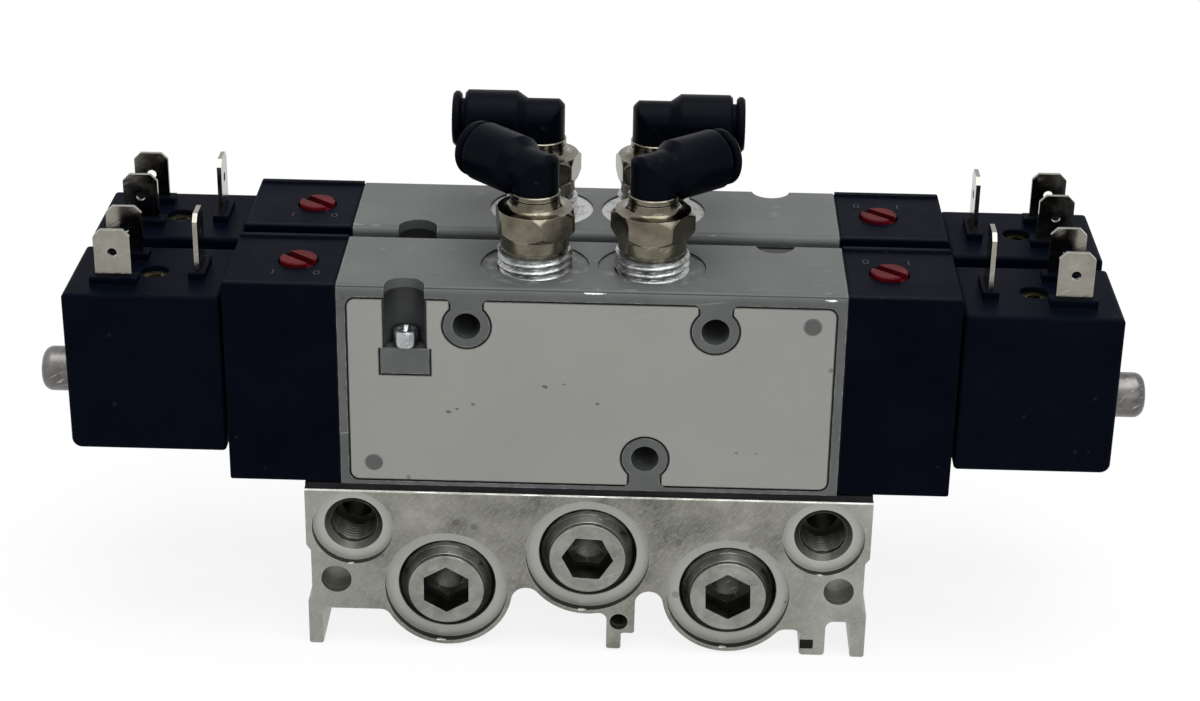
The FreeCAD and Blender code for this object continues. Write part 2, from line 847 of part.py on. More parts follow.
def housing_gasket():
    reach = half_width - housing_gasket_inset
    z_range = (housing_bottom + housing_gasket_inset, housing_top - housing_gasket_inset)
    sheet = block((half_valve, housing_start), (-reach, reach), z_range)
    duct_height = tube_axis_height - piston_chamber_radius
    tools = [
        rod(Vec(half_valve, 0, spool_height), along_x, piston_chamber_radius, housing_gasket_thickness),
        rod(Vec(half_valve, 0, duct_height), along_x, pilot_passage_radius, housing_gasket_thickness),
    ]
    for y, z in housing_screw_places:
        start = Vec(half_valve, y, z)
        tools.append(rod(start, along_x, housing_screw_radius, housing_gasket_thickness))
    return sheet.cut(tools)


def housing_screws():
    screws = []
    head_end = housing_end - housing_screw_head_room
    for y, z in housing_screw_places:
        profile = (
            (housing_screw_start, housing_screw_radius),
            (head_end - housing_screw_head_height, housing_screw_radius),
            (head_end - housing_screw_head_height, housing_screw_head_radius),
            (head_end, housing_screw_head_radius),
        )
        screws.append(turned(profile, Vec(0, y, z), along_x))
    return screws


def override_screw():
    panel_z = housing_top - housing_panel_depth
    seat = panel_z - override_recess_depth
    head = panel_z + override_proud
    profile = (
        (panel_z - override_depth, override_stem_radius),
        (seat, override_stem_radius),
        (seat, override_head_radius),
        (head - override_edge, override_head_radius),
        (head, override_head_radius - override_edge),
    )
    screw = turned(profile, Vec(override_x, 0, 0), upward)
    half_slot = override_slot_width / 2
    slot = block((-override_head_radius, override_head_radius), (-half_slot, half_slot),
                 (head - override_slot_depth, head))
    slot.rotate(Vec(0, 0, 0), upward, override_slot_angle)
    slot.translate(along_x * override_x)
    return screw.cut(slot)


# Coil, armature tube, armature and spring, drawn for the right end

def blade(tip):
    """A flat contact blade across X with a bevelled tip and a latch hole."""
    half = blade_width / 2
    low = coil_top - blade_depth
    steps = [
        corner(-half, low),
        corner(-half, tip - blade_bevel),
        corner(-half + blade_bevel, tip),
        corner(half - blade_bevel, tip),
        corner(half, tip - blade_bevel),
        corner(half, low),
    ]
    solid = panel(steps, -blade_thickness / 2, blade_thickness)
    hole = rod(Vec(0, -blade_thickness, tip - blade_hole_from_tip), along_y, blade_hole_radius,
               2 * blade_thickness)
    return solid.cut(hole)


def terminals():
    blades = []
    for y in (-contact_spacing / 2, contact_spacing / 2):
        contact = blade(contact_tip)
        contact.translate(Vec(contact_x, y, 0))
        blades.append(contact)
    ground = blade(ground_tip)
    ground.rotate(Vec(0, 0, 0), upward, 90)
    ground.translate(Vec(ground_x, 0, 0))
    blades.append(ground)
    return blades


def plinth(centre_x, centre_y, along, across):
    half_along = along / 2 + plinth_margin
    half_across = across / 2 + plinth_margin
    return block(
        (centre_x - half_along, centre_x + half_along),
        (centre_y - half_across, centre_y + half_across),
        (coil_top - plinth_root, coil_top + plinth_height),
    )


def coil():
    steps = [
        corner(coil_start, coil_bottom, coil_edge_radius),
        corner(coil_start, coil_top, coil_edge_radius),
        corner(coil_end, coil_top, coil_edge_radius),
        corner(coil_end, coil_bottom, coil_foot_radius),
    ]
    depth = half_width - coil_inset
    moulding = panel(steps, -depth, 2 * depth)
    rims = []
    for edge in moulding.Edges:
        if edge.BoundBox.YLength < edge_tolerance:
            rims.append(edge)
    moulding = moulding.makeFillet(coil_rim_radius, rims)
    plinths = [plinth(ground_x, 0, blade_thickness, blade_width)]
    for y in (-contact_spacing / 2, contact_spacing / 2):
        plinths.append(plinth(contact_x, y, blade_width, blade_thickness))
    moulding = joined([moulding] + plinths)
    tools = terminals()
    bore = tube_outer_radius + tube_coil_clearance
    tools.append(rod(Vec(coil_start, 0, tube_axis_height), along_x, bore, coil_end - coil_start))
    depth = insert_recess + insert_length
    tools.append(rod(Vec(insert_x, 0, coil_top), -upward, insert_radius, depth))
    for tool in tools:
        moulding = moulding.cut(tool)
    return moulding


def terminal_insert():
    top = Vec(insert_x, 0, coil_top - insert_recess)
    thread = rod(top, -upward, insert_thread_radius, insert_length)
    return rod(top, -upward, insert_radius, insert_length).cut(thread)


def armature_tube():
    profile = (
        (tube_base_start, tube_base_radius),
        (coil_start, tube_base_radius),
        (coil_start, tube_outer_radius),
        (tube_nub_end, tube_outer_radius),
    )
    tube = turned(profile, Vec(0, 0, tube_axis_height), along_x)
    end_edges = []
    for edge in tube.Edges:
        if edge.BoundBox.XMin > tube_nub_end - edge_tolerance and edge.BoundBox.YLength > 1:
            end_edges.append(edge)
    tube = tube.makeFillet(tube_nub_edge, end_edges)
    cavity = rod(Vec(tube_base_start, 0, tube_axis_height), along_x, tube_cavity_radius,
                 tube_cavity_end - tube_base_start)
    return tube.cut(cavity)


def armature():
    start = tube_base_start + armature_gap
    end = tube_cavity_end - armature_stroke - armature_gap
    radius = tube_cavity_radius - armature_clearance
    plunger = rod(Vec(start, 0, tube_axis_height), along_x, radius, end - start)
    pocket = rod(Vec(end, 0, tube_axis_height), -along_x, spring_pocket_radius, spring_pocket_depth)
    return plunger.cut(pocket)


def armature_spring():
    pocket_end = tube_cavity_end - armature_stroke - armature_gap - spring_pocket_depth
    start = pocket_end + spring_wire_radius + spring_end_gap
    length = tube_cavity_end - spring_wire_radius - spring_end_gap - start
    helix = Part.makeHelix(length / spring_turns, length, spring_mean_radius)
    section = []
    for index in range(spring_wire_sides + 1):
        angle = 2 * math.pi * index / spring_wire_sides
        across = Vec(math.cos(angle), 0, math.sin(angle)) * spring_wire_radius
        section.append(across + along_x * spring_mean_radius)
    pipe = Part.BRepOffsetAPI.MakePipeShell(Part.Wire(helix.Edges))
    pipe.add(Part.makePolygon(section))
    pipe.setFrenetMode(True)
    pipe.build()
    pipe.makeSolid()
    spring = pipe.shape()
    spring.Placement = FreeCAD.Placement(Vec(start, 0, tube_axis_height), FreeCAD.Rotation(upward, along_x))
    return spring


# Fitting stud, elbow and release collar, drawn at the valve's middle

def fitting_stud(hex_turn):
    start = valve_height - top_thread_depth + stud_thread_gap
    relief = stud_thread_top + stud_relief_height
    shank = turned(
        (
            (start, top_thread_radius),
            (stud_thread_top, top_thread_radius),
            (stud_thread_top, stud_relief_radius),
            (relief, stud_relief_radius),
            (relief, stud_neck_radius),
            (stud_hex_start, stud_neck_radius),
            (stud_hex_start, stud_collar_radius),
            (stud_hex_end, stud_collar_radius),
            (stud_hex_end, stud_flare_radius),
            (stud_hex_end + stud_flare_height, stud_collar_radius),
            (stud_top, stud_collar_radius),
        ),
        Vec(0, 0, 0),
        upward,
    )
    corner_radius = stud_hex_flats / math.sqrt(3)
    envelope = turned(
        (
            (stud_hex_start, corner_radius - stud_hex_chamfer),
            (stud_hex_start + stud_hex_chamfer, corner_radius),
            (stud_hex_end - stud_hex_chamfer, corner_radius),
            (stud_hex_end, corner_radius - stud_hex_chamfer),
        ),
        Vec(0, 0, 0),
        upward,
    )
    nut = hexagon(stud_hex_flats, stud_hex_height, Vec(0, 0, stud_hex_start), upward, hex_turn)
    bore = rod(Vec(0, 0, start), upward, stud_bore_radius, stud_top - start)
    seat_depth = swivel_length + elbow_seat_gap
    seat = rod(Vec(0, 0, stud_top), -upward, swivel_radius + swivel_clearance, seat_depth)
    return shank.fuse(nut.common(envelope)).cut(bore).cut(seat)


def elbow():
    axis = Vec(0, 0, elbow_axis_height)
    stem = turned(
        (
            (elbow_seat - swivel_length, swivel_radius),
            (elbow_seat, swivel_radius),
            (elbow_seat, elbow_stem_radius),
            (elbow_axis_height, elbow_stem_radius),
        ),
        Vec(0, 0, 0),
        upward,
    )
    barrel = turned(
        (
            (0, elbow_neck_radius),
            (elbow_neck_end, elbow_neck_radius),
            (elbow_cone_end, elbow_barrel_radius),
            (elbow_barrel_end - elbow_barrel_edge, elbow_barrel_radius),
            (elbow_barrel_end, elbow_barrel_radius - elbow_barrel_edge),
        ),
        axis,
        along_x,
    )
    upright = rod(axis - upward * elbow_neck_radius, upward, elbow_stem_radius, 2 * elbow_neck_radius)
    level = rod(axis - along_x * elbow_stem_radius, along_x, elbow_neck_radius, 2 * elbow_stem_radius)
    knuckle = upright.common(level).common(Part.makeSphere(elbow_knuckle_trim, axis))
    room_radius = stud_collar_radius + elbow_collar_room
    room = rod(Vec(0, 0, stud_hex_end), upward, room_radius, elbow_seat - stud_hex_end)
    mouth_depth = collar_tail_length + collar_travel + 2 * collar_gap
    mouth_start = elbow_barrel_end - mouth_depth
    passages = [
        rod(axis, -upward, elbow_passage_radius, elbow_axis_height),
        rod(axis, along_x, elbow_passage_radius, elbow_barrel_end),
        rod(axis + along_x * tube_stop, along_x, tube_radius, elbow_barrel_end),
        rod(axis + along_x * mouth_start, along_x, collar_tail_radius + swivel_clearance, mouth_depth),
    ]
    solid = knuckle.fuse(barrel).cut(room).fuse(stem)
    for tool in passages:
        solid = solid.cut(tool)
    return solid


def release_collar():
    flange = elbow_barrel_end + collar_travel + collar_gap
    end = flange + collar_flange_thickness
    profile = (
        (elbow_barrel_end - collar_tail_length, collar_tail_radius),
        (flange, collar_tail_radius),
        (flange, collar_flange_radius - collar_flange_edge),
        (flange + collar_flange_edge, collar_flange_radius),
        (end - collar_flange_edge, collar_flange_radius),
        (end, collar_flange_radius - collar_flange_edge),
    )
    axis = Vec(0, 0, elbow_axis_height)
    collar = turned(profile, axis, along_x)
    return collar.cut(rod(axis, along_x, tube_radius, end))


# Placing and writing

def placed(shape, station, turn=0, x=0):
    copy = shape.copy()
    copy.rotate(Vec(0, 0, 0), upward, turn)
    copy.translate(Vec(x, stations[station], valve_base))
    return copy


def group(shapes):
    return Part.makeCompound(shapes)


# Each fitting: station, side, turn of its hexagon and direction of its elbow seen from above
fittings = (
    ("front", "left", -20.4, 134.0),
    ("front", "right", -3.6, 40.0),
    ("rear", "left", 17.0, 180.0),
    ("rear", "right", -18.5, 0.0),
)


def build_parts():
    parts = {"manifold_block": manifold_block()}
    for name, place in zip(("port_5_plug", "port_1_plug", "port_3_plug"), galleries):
        parts[name] = port_plug(place)

    shared = {
        "gasket": gasket(),
        "valve_body": valve_body(),
        "side_plate": side_plate(),
        "spool": spool(),
        "spool_seals": spool_seals(),
        "pilot_pistons": pilot_pistons(),
    }
    for station in stations:
        for name, shape in shared.items():
            parts[station + "_" + name] = placed(shape, station)

    end_pieces = {
        "pilot_housing": pilot_housing(),
        "override": override_screw(),
        "armature_tube": armature_tube(),
        "armature": armature(),
        "armature_spring": armature_spring(),
        "coil": coil(),
        "terminals": group(terminals()),
    }
    gaskets = []
    screws = []
    inserts = []
    mounting = []
    for station in stations:
        for turn in (0, 180):
            mounting.append(placed(mounting_screw(), station, turn))
        for side, turn in sides.items():
            for name, shape in end_pieces.items():
                parts["_".join((station, side, name))] = placed(shape, station, turn)
            gaskets.append(placed(housing_gasket(), station, turn))
            inserts.append(placed(terminal_insert(), station, turn))
            screws += [placed(screw, station, turn) for screw in housing_screws()]
    parts["mounting_screws"] = group(mounting)
    parts["housing_gaskets"] = group(gaskets)
    parts["housing_screws"] = group(screws)
    parts["terminal_inserts"] = group(inserts)

    for station, side, hex_turn, direction in fittings:
        x = -outlet_spacing if side == "left" else outlet_spacing
        name = station + "_" + side + "_"
        parts[name + "stud"] = placed(fitting_stud(hex_turn), station, 0, x)
        parts[name + "elbow"] = placed(elbow(), station, direction, x)
        parts[name + "release_collar"] = placed(release_collar(), station, direction, x)
    return parts


os.makedirs("parts", exist_ok=True)
for node, shape in build_parts().items():
    if not shape.isValid():
        print("not valid:", node)
    shape.exportStep("parts/" + node + ".step")
print("nodes", len(os.listdir("parts")))
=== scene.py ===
import json
import math

import bmesh
import bpy
from mathutils import Matrix, Vector


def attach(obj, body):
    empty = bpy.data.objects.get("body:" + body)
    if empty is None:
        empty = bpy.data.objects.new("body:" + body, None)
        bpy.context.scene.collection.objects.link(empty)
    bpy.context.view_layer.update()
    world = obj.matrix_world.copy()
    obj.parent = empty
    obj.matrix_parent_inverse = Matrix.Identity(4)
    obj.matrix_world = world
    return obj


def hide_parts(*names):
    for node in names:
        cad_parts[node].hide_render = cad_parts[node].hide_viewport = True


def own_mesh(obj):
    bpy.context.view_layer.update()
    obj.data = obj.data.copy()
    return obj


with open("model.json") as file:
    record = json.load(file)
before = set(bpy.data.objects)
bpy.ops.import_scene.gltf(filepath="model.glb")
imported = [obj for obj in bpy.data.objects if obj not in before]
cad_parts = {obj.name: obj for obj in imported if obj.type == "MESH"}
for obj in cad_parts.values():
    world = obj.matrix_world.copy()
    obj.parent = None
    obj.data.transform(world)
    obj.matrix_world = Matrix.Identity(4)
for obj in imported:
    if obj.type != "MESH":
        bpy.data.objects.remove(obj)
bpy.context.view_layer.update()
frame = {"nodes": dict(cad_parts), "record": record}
nodes = frame["nodes"]
mm = 0.001
print("frame loaded", len(nodes), "nodes")

# Places on the real object, in millimetres, that more than one piece uses
layout = {
    "stations": {"front": -13.25, "rear": 13.25},
    "sides": {"left": -1, "right": 1},
    "valveBase": 33.0,
    "outletX": 10.27,
    "manifoldFront": -25.15,
    "recessDepth": 1.5,
    "galleries": {"port_5": (-25.45, 12.4), "port_1": (0.0, 19.55), "port_3": (25.45, 12.4)},
    "pilotPort": (42.2, 24.2),
    "seatRadius": 9.5,
    "seatTop": 71.2,
}


# Node trees

def setSocket(tree, socket, value):
    if isinstance(value, bpy.types.NodeSocket):
        tree.links.new(value, socket)
    else:
        socket.default_value = value


def addNode(tree, kind, inputs=None, **settings):
    node = tree.nodes.new(kind)
    for name, value in settings.items():
        setattr(node, name, value)
    for name, value in (inputs or {}).items():
        setSocket(tree, node.inputs[name], value)
    return node


def newGroup(name, inputs, outputs):
    tree = bpy.data.node_groups.new(name, "ShaderNodeTree")
    for label, kind, value in inputs:
        socket = tree.interface.new_socket(name=label, in_out="INPUT", socket_type=kind)
        if value is not None:
            socket.default_value = value
    for label, kind in outputs:
        tree.interface.new_socket(name=label, in_out="OUTPUT", socket_type=kind)
    return tree, tree.nodes.new("NodeGroupInput"), tree.nodes.new("NodeGroupOutput")


def rangeNode(tree, value, low, high, toLow=0.0, toHigh=1.0):
    return addNode(tree, "ShaderNodeMapRange", {
        "Value": value, "From Min": low, "From Max": high, "To Min": toLow, "To Max": toHigh,
    }).outputs["Result"]


def mathNode(tree, operation, *values):
    return addNode(tree, "ShaderNodeMath", dict(enumerate(values)), operation=operation).outputs[0]


def vectorNode(tree, operation, *values):
    return addNode(tree, "ShaderNodeVectorMath", dict(enumerate(values)), operation=operation)


# The distance that belongs to two offsets at right angles
def reachNode(tree, across, along):
    squares = mathNode(tree, "ADD", mathNode(tree, "MULTIPLY", across, across),
                       mathNode(tree, "MULTIPLY", along, along))
    return mathNode(tree, "SQRT", squares)


# One where a value lies between two limits
def betweenMask(tree, value, low, high):
    above = mathNode(tree, "GREATER_THAN", value, low)
    return mathNode(tree, "MULTIPLY", above, mathNode(tree, "LESS_THAN", value, high))


def mixColor(tree, factor, first, second, blend="MIX"):
    node = addNode(tree, "ShaderNodeMix", {0: factor, 6: first, 7: second}, data_type="RGBA", blend_type=blend)
    return node.outputs[2]


def makeGrainGroup():
    tree, start, end = newGroup(
        "mouldedGrain",
        [("Vector", "NodeSocketVector", None), ("Scale", "NodeSocketFloat", 900.0)],
        [("Height", "NodeSocketFloat")],
    )
    noise = addNode(tree, "ShaderNodeTexNoise", {
        "Vector": start.outputs["Vector"], "Scale": start.outputs["Scale"], "Roughness": 0.55, "Detail": 4.0,
    })
    tree.links.new(noise.outputs["Fac"], end.inputs["Height"])
    return tree


def makeScratchGroup():
    tree, start, end = newGroup(
        "fineScratches",
        [("Vector", "NodeSocketVector", None), ("Angle", "NodeSocketFloat", 0.0),
         ("Length", "NodeSocketFloat", 12.0), ("Scale", "NodeSocketFloat", 1600.0),
         ("Amount", "NodeSocketFloat", 0.62)],
        [("Mask", "NodeSocketFloat"), ("Height", "NodeSocketFloat")],
    )
    turn = addNode(tree, "ShaderNodeVectorRotate", {
        "Vector": start.outputs["Vector"], "Axis": (0.0, 1.0, 0.0), "Angle": start.outputs["Angle"],
    })
    parts = addNode(tree, "ShaderNodeSeparateXYZ", {"Vector": turn.outputs[0]})
    squeezed = mathNode(tree, "DIVIDE", parts.outputs["X"], start.outputs["Length"])
    joined = addNode(tree, "ShaderNodeCombineXYZ", {
        "X": squeezed, "Y": parts.outputs["Y"], "Z": parts.outputs["Z"],
    })
    noise = addNode(tree, "ShaderNodeTexNoise", {
        "Vector": joined.outputs[0], "Scale": start.outputs["Scale"], "Detail": 2.0,
    })
    upper = mathNode(tree, "ADD", start.outputs["Amount"], 0.06)
    tree.links.new(rangeNode(tree, noise.outputs["Fac"], start.outputs["Amount"], upper), end.inputs["Mask"])
    tree.links.new(noise.outputs["Fac"], end.inputs["Height"])
    return tree


def makeEdgeGroup():
    tree, start, end = newGroup(
        "wornEdges",
        [("Radius", "NodeSocketFloat", 0.0003), ("Breakup", "NodeSocketFloat", 0.5),
         ("Vector", "NodeSocketVector", None)],
        [("Mask", "NodeSocketFloat"), ("Normal", "NodeSocketVector")],
    )
    bevel = addNode(tree, "ShaderNodeBevel", {"Radius": start.outputs["Radius"]}, samples=4)
    geometry = addNode(tree, "ShaderNodeNewGeometry")
    dot = vectorNode(tree, "DOT_PRODUCT", bevel.outputs["Normal"], geometry.outputs["Normal"])
    edge = rangeNode(tree, dot.outputs["Value"], 0.995, 0.85)
    noise = addNode(tree, "ShaderNodeTexNoise", {
        "Vector": start.outputs["Vector"], "Scale": 700.0, "Detail": 3.0,
    })
    patchy = rangeNode(tree, noise.outputs["Fac"], start.outputs["Breakup"], 0.7)
    tree.links.new(mathNode(tree, "MULTIPLY", edge, patchy), end.inputs["Mask"])
    tree.links.new(bevel.outputs["Normal"], end.inputs["Normal"])
    return tree


# Painted shade in narrow gaps and inner corners, from ambient occlusion
def makeCreviceGroup():
    tree, start, end = newGroup(
        "creviceShade",
        [("Distance", "NodeSocketFloat", 0.0007)],
        [("Mask", "NodeSocketFloat")],
    )
    shade = addNode(tree, "ShaderNodeAmbientOcclusion", {"Distance": start.outputs["Distance"]}, samples=6)
    tree.links.new(rangeNode(tree, shade.outputs["AO"], 0.75, 0.3), end.inputs["Mask"])
    return tree


def makeSpeckGroup():
    tree, start, end = newGroup(
        "dirtSpecks",
        [("Vector", "NodeSocketVector", None), ("Scale", "NodeSocketFloat", 220.0),
         ("Size", "NodeSocketFloat", 0.12), ("Share", "NodeSocketFloat", 0.9)],
        [("Mask", "NodeSocketFloat")],
    )
    wobble = addNode(tree, "ShaderNodeTexNoise", {"Vector": start.outputs["Vector"], "Scale": 900.0})
    moved = vectorNode(tree, "MULTIPLY", wobble.outputs["Color"], (0.0006, 0.0006, 0.0006))
    place = vectorNode(tree, "ADD", start.outputs["Vector"], moved.outputs[0])
    cells = addNode(tree, "ShaderNodeTexVoronoi", {"Vector": place.outputs[0], "Scale": start.outputs["Scale"]})
    dot = mathNode(tree, "LESS_THAN", cells.outputs["Distance"], start.outputs["Size"])
    tone = addNode(tree, "ShaderNodeSeparateColor", {"Color": cells.outputs["Color"]})
    chosen = mathNode(tree, "GREATER_THAN", tone.outputs["Red"], start.outputs["Share"])
    tree.links.new(mathNode(tree, "MULTIPLY", dot, chosen), end.inputs["Mask"])
    return tree


# An irregular spot about a point of the object
def makePatchGroup():
    tree, start, end = newGroup(
        "raggedPatch",
        [("Vector", "NodeSocketVector", None), ("Centre", "NodeSocketVector", None),
         ("Size", "NodeSocketVector", (0.001, 0.001, 0.001)), ("Ragged", "NodeSocketFloat", 1.6)],
        [("Mask", "NodeSocketFloat")],
    )
    offset = vectorNode(tree, "SUBTRACT", start.outputs["Vector"], start.outputs["Centre"])
    scaled = vectorNode(tree, "DIVIDE", offset.outputs[0], start.outputs["Size"])
    reach = vectorNode(tree, "LENGTH", scaled.outputs[0])
    noise = addNode(tree, "ShaderNodeTexNoise", {"Vector": start.outputs["Vector"], "Scale": 1500.0, "Detail": 3.0})
    centred = mathNode(tree, "SUBTRACT", noise.outputs["Fac"], 0.5)
    total = mathNode(tree, "MULTIPLY_ADD", centred, start.outputs["Ragged"], reach.outputs["Value"])
    tree.links.new(mathNode(tree, "LESS_THAN", total, 0.85), end.inputs["Mask"])
    return tree


def makeCloudGroup():
    tree, start, end = newGroup(
        "cloudedTone",
        [("Vector", "NodeSocketVector", None), ("Scale", "NodeSocketFloat", 60.0),
         ("Light", "NodeSocketColor", (1, 1, 1, 1)), ("Dark", "NodeSocketColor", (0, 0, 0, 1))],
        [("Color", "NodeSocketColor"), ("Mask", "NodeSocketFloat")],
    )
    noise = addNode(tree, "ShaderNodeTexNoise", {
        "Vector": start.outputs["Vector"], "Scale": start.outputs["Scale"], "Detail": 5.0, "Roughness": 0.6,
    })
    spread = rangeNode(tree, noise.outputs["Fac"], 0.3, 0.7)
    tree.links.new(mixColor(tree, spread, start.outputs["Dark"], start.outputs["Light"]), end.inputs["Color"])
    tree.links.new(spread, end.inputs["Mask"])
    return tree


groups = {
    "grain": makeGrainGroup(),
    "scratch": makeScratchGroup(),
    "edge": makeEdgeGroup(),
    "crevice": makeCreviceGroup(),
    "speck": makeSpeckGroup(),
    "cloud": makeCloudGroup(),
    "patch": makePatchGroup(),
}


def useGroup(tree, name, inputs):
    node = tree.nodes.new("ShaderNodeGroup")
    node.node_tree = groups[name]
    for label, value in inputs.items():
        setSocket(tree, node.inputs[label], value)
    return node


def toneCloud(tree, place, scale, light, dark):
    return useGroup(tree, "cloud", {"Vector": place, "Scale": scale, "Light": light, "Dark": dark})


# A colour with another laid over it by a share of a mask
def coverColor(tree, mask, share, under, over):
    return mixColor(tree, mathNode(tree, "MULTIPLY", mask, share), under, over)


# A material with object coordinates, and a shader that carries the constant values of its finish
def startMaterial(name, finish):
    material = bpy.data.materials.new(name)
    material.use_nodes = True
    tree = material.node_tree
    tree.nodes.clear()
    shader = tree.nodes.new("ShaderNodeBsdfPrincipled")
    output = tree.nodes.new("ShaderNodeOutputMaterial")
    tree.links.new(shader.outputs[0], output.inputs["Surface"])
    shader.inputs["Metallic"].default_value = finish.get("metallic", 0.0)
    shader.inputs["Specular IOR Level"].default_value = finish.get("specular", 0.5)
    shader.inputs["Roughness"].default_value = finish["roughness"]
    shader.inputs["Coat Weight"].default_value = finish.get("coat", 0.0)
    shader.inputs["Coat Roughness"].default_value = finish.get("coatRoughness", 0.2)
    place = tree.nodes.new("ShaderNodeTexCoord").outputs["Object"]
    return material, tree, shader, place


def bumpFrom(tree, shader, height, distance, strength=1.0, normal=None):
    inputs = {"Height": height, "Distance": distance, "Strength": strength}
    if normal is not None:
        inputs["Normal"] = normal
    bump = addNode(tree, "ShaderNodeBump", inputs)
    tree.links.new(bump.outputs["Normal"], shader.inputs["Normal"])
    return bump.outputs["Normal"]


plasticFinish = {
    "housing": {"tone": (0.0004, 0.0011, 0.0042, 1), "pale": (0.0013, 0.0023, 0.0062, 1), "roughness": 0.46,
                "specular": 0.018, "grain": 1500.0, "depth": 0.00003, "rubAndSheen": 0.014, "rim": 0.0009},
    "coil": {"tone": (0.0005, 0.0013, 0.0046, 1), "pale": (0.0015, 0.0026, 0.0066, 1), "roughness": 0.5,
             "specular": 0.02, "grain": 1100.0, "depth": 0.00004, "rubAndSheen": 0.014, "rim": 0.0007},
    "fitting": {"tone": (0.0005, 0.0011, 0.0031, 1), "pale": (0.0011, 0.0020, 0.0046, 1), "roughness": 0.34,
                "specular": 0.03, "grain": 2200.0, "depth": 0.000012, "rubAndSheen": 0.010, "rim": 0.0008},
    "piston": {"tone": (0.003, 0.003, 0.004, 1), "pale": (0.006, 0.006, 0.007, 1), "roughness": 0.5,
               "specular": 0.1, "grain": 1500.0, "depth": 0.00002, "rubAndSheen": 0.02, "rim": 0.0004},
}


def blackPlastic(kind):
    finish = plasticFinish[kind]
    material, tree, shader, place = startMaterial(kind + "Black", finish)
    cloud = toneCloud(tree, place, 90.0, finish["pale"], finish["tone"])
    edge = useGroup(tree, "edge", {"Vector": place, "Radius": 0.00035, "Breakup": 0.38})
    # Lighter edges: rubbed wear, and also a painted sheen in place of the soft highlights on rounded edges
    rubAndSheenTone = finish["rubAndSheen"]
    color = coverColor(tree, edge.outputs["Mask"], 0.55, cloud.outputs["Color"], (rubAndSheenTone, rubAndSheenTone, 1.15 * rubAndSheenTone, 1))
    dust = useGroup(tree, "speck", {"Vector": place, "Scale": 420.0, "Size": 0.16, "Share": 0.93})
    color = coverColor(tree, dust.outputs["Mask"], 0.35, color, (0.018, 0.018, 0.018, 1))
    tree.links.new(color, shader.inputs["Base Color"])
    grain = useGroup(tree, "grain", {"Vector": place, "Scale": finish["grain"]})
    uneven = rangeNode(tree, cloud.outputs["Mask"], 0.0, 1.0, finish["roughness"] - 0.06, finish["roughness"] + 0.08)
    tree.links.new(uneven, shader.inputs["Roughness"])
    rim = useGroup(tree, "edge", {"Vector": place, "Radius": finish["rim"], "Breakup": 0.2})
    bumpFrom(tree, shader, grain.outputs["Height"], finish["depth"], 0.8, rim.outputs["Normal"])
    return material


bodyFinish = {
    "roughness": 0.48, "specular": 0.3, "light": (0.098, 0.103, 0.102, 1), "dark": (0.064, 0.068, 0.068, 1),
    # groove is a painted shade colour for the gap round the plate, the screw channels and crevices
    "bare": (0.50, 0.51, 0.50, 1), "grime": (0.03, 0.031, 0.031, 1), "groove": (0.004, 0.004, 0.005, 1),
    "plateGapShadeDepth": (24.15, 24.35),
    "pocket": {"x": (28.4, 36.1), "outer": (18.8, 24.2), "inner": (1.9, 7.6), "low": 60.0, "top": 69.6},
    "chip": (0.75, 0.76, 0.75, 1),
    "chips": ((31.4, 0.9, 71.1, 1.3, 0.5), (33.6, 0.9, 71.1, 0.7, 0.5), (38.2, -1.9, 71.3, 0.5, 0.3),
              (0.4, -24.4, 70.9, 2.2, 0.22), (41.3, -24.5, 70.6, 1.5, 0.22)),
}


def patchMask(tree, place, centre, size):
    return useGroup(tree, "patch", {"Vector": place, "Centre": [value * mm for value in centre],
                                    "Size": [value * mm for value in size]}).outputs["Mask"]


# Bare metal on the machined seats of the top ports: bright at the rear valve, dull with scratches at the front
def ringMask(tree, place):
    parts = addNode(tree, "ShaderNodeSeparateXYZ", {"Vector": place})
    across = mathNode(tree, "SUBTRACT", mathNode(tree, "ABSOLUTE", parts.outputs["X"]), layout["outletX"] * mm)
    along = mathNode(tree, "SUBTRACT", mathNode(tree, "ABSOLUTE", parts.outputs["Y"]),
                     layout["stations"]["rear"] * mm)
    reach = reachNode(tree, across, along)
    inside = mathNode(tree, "LESS_THAN", reach, layout["seatRadius"] * mm)
    floor = mathNode(tree, "LESS_THAN", parts.outputs["Z"], layout["seatTop"] * mm)
    seat = mathNode(tree, "MULTIPLY", inside, floor)
    rear = mathNode(tree, "GREATER_THAN", parts.outputs["Y"], 0.0)
    noise = addNode(tree, "ShaderNodeTexNoise", {"Vector": place, "Scale": 420.0, "Detail": 4.0})
    scraped = rangeNode(tree, noise.outputs["Fac"], 0.50, 0.66, 0.03, 0.22)
    bright = rangeNode(tree, noise.outputs["Fac"], 0.34, 0.46, 0.25, 0.95)
    share = addNode(tree, "ShaderNodeMix", {0: rear, 2: scraped, 3: bright}).outputs[0]
    return mathNode(tree, "MULTIPLY", seat, share)


# Painted shade in the open channels of the mounting screws, darkest near the top
def pocketMask(tree, parts):
    pocket = bodyFinish["pocket"]
    aside = mathNode(tree, "ABSOLUTE", parts.outputs["X"])
    deep = mathNode(tree, "ABSOLUTE", parts.outputs["Y"])
    across = betweenMask(tree, aside, *(at * mm for at in pocket["x"]))
    outer = betweenMask(tree, deep, *(at * mm for at in pocket["outer"]))
    inner = betweenMask(tree, deep, *(at * mm for at in pocket["inner"]))
    within = mathNode(tree, "MULTIPLY", across, mathNode(tree, "MAXIMUM", outer, inner))
    below = mathNode(tree, "LESS_THAN", parts.outputs["Z"], pocket["top"] * mm)
    rise = rangeNode(tree, parts.outputs["Z"], pocket["low"] * mm, pocket["top"] * mm, 0.35, 0.85)
    return mathNode(tree, "MULTIPLY", mathNode(tree, "MULTIPLY", within, below), rise)


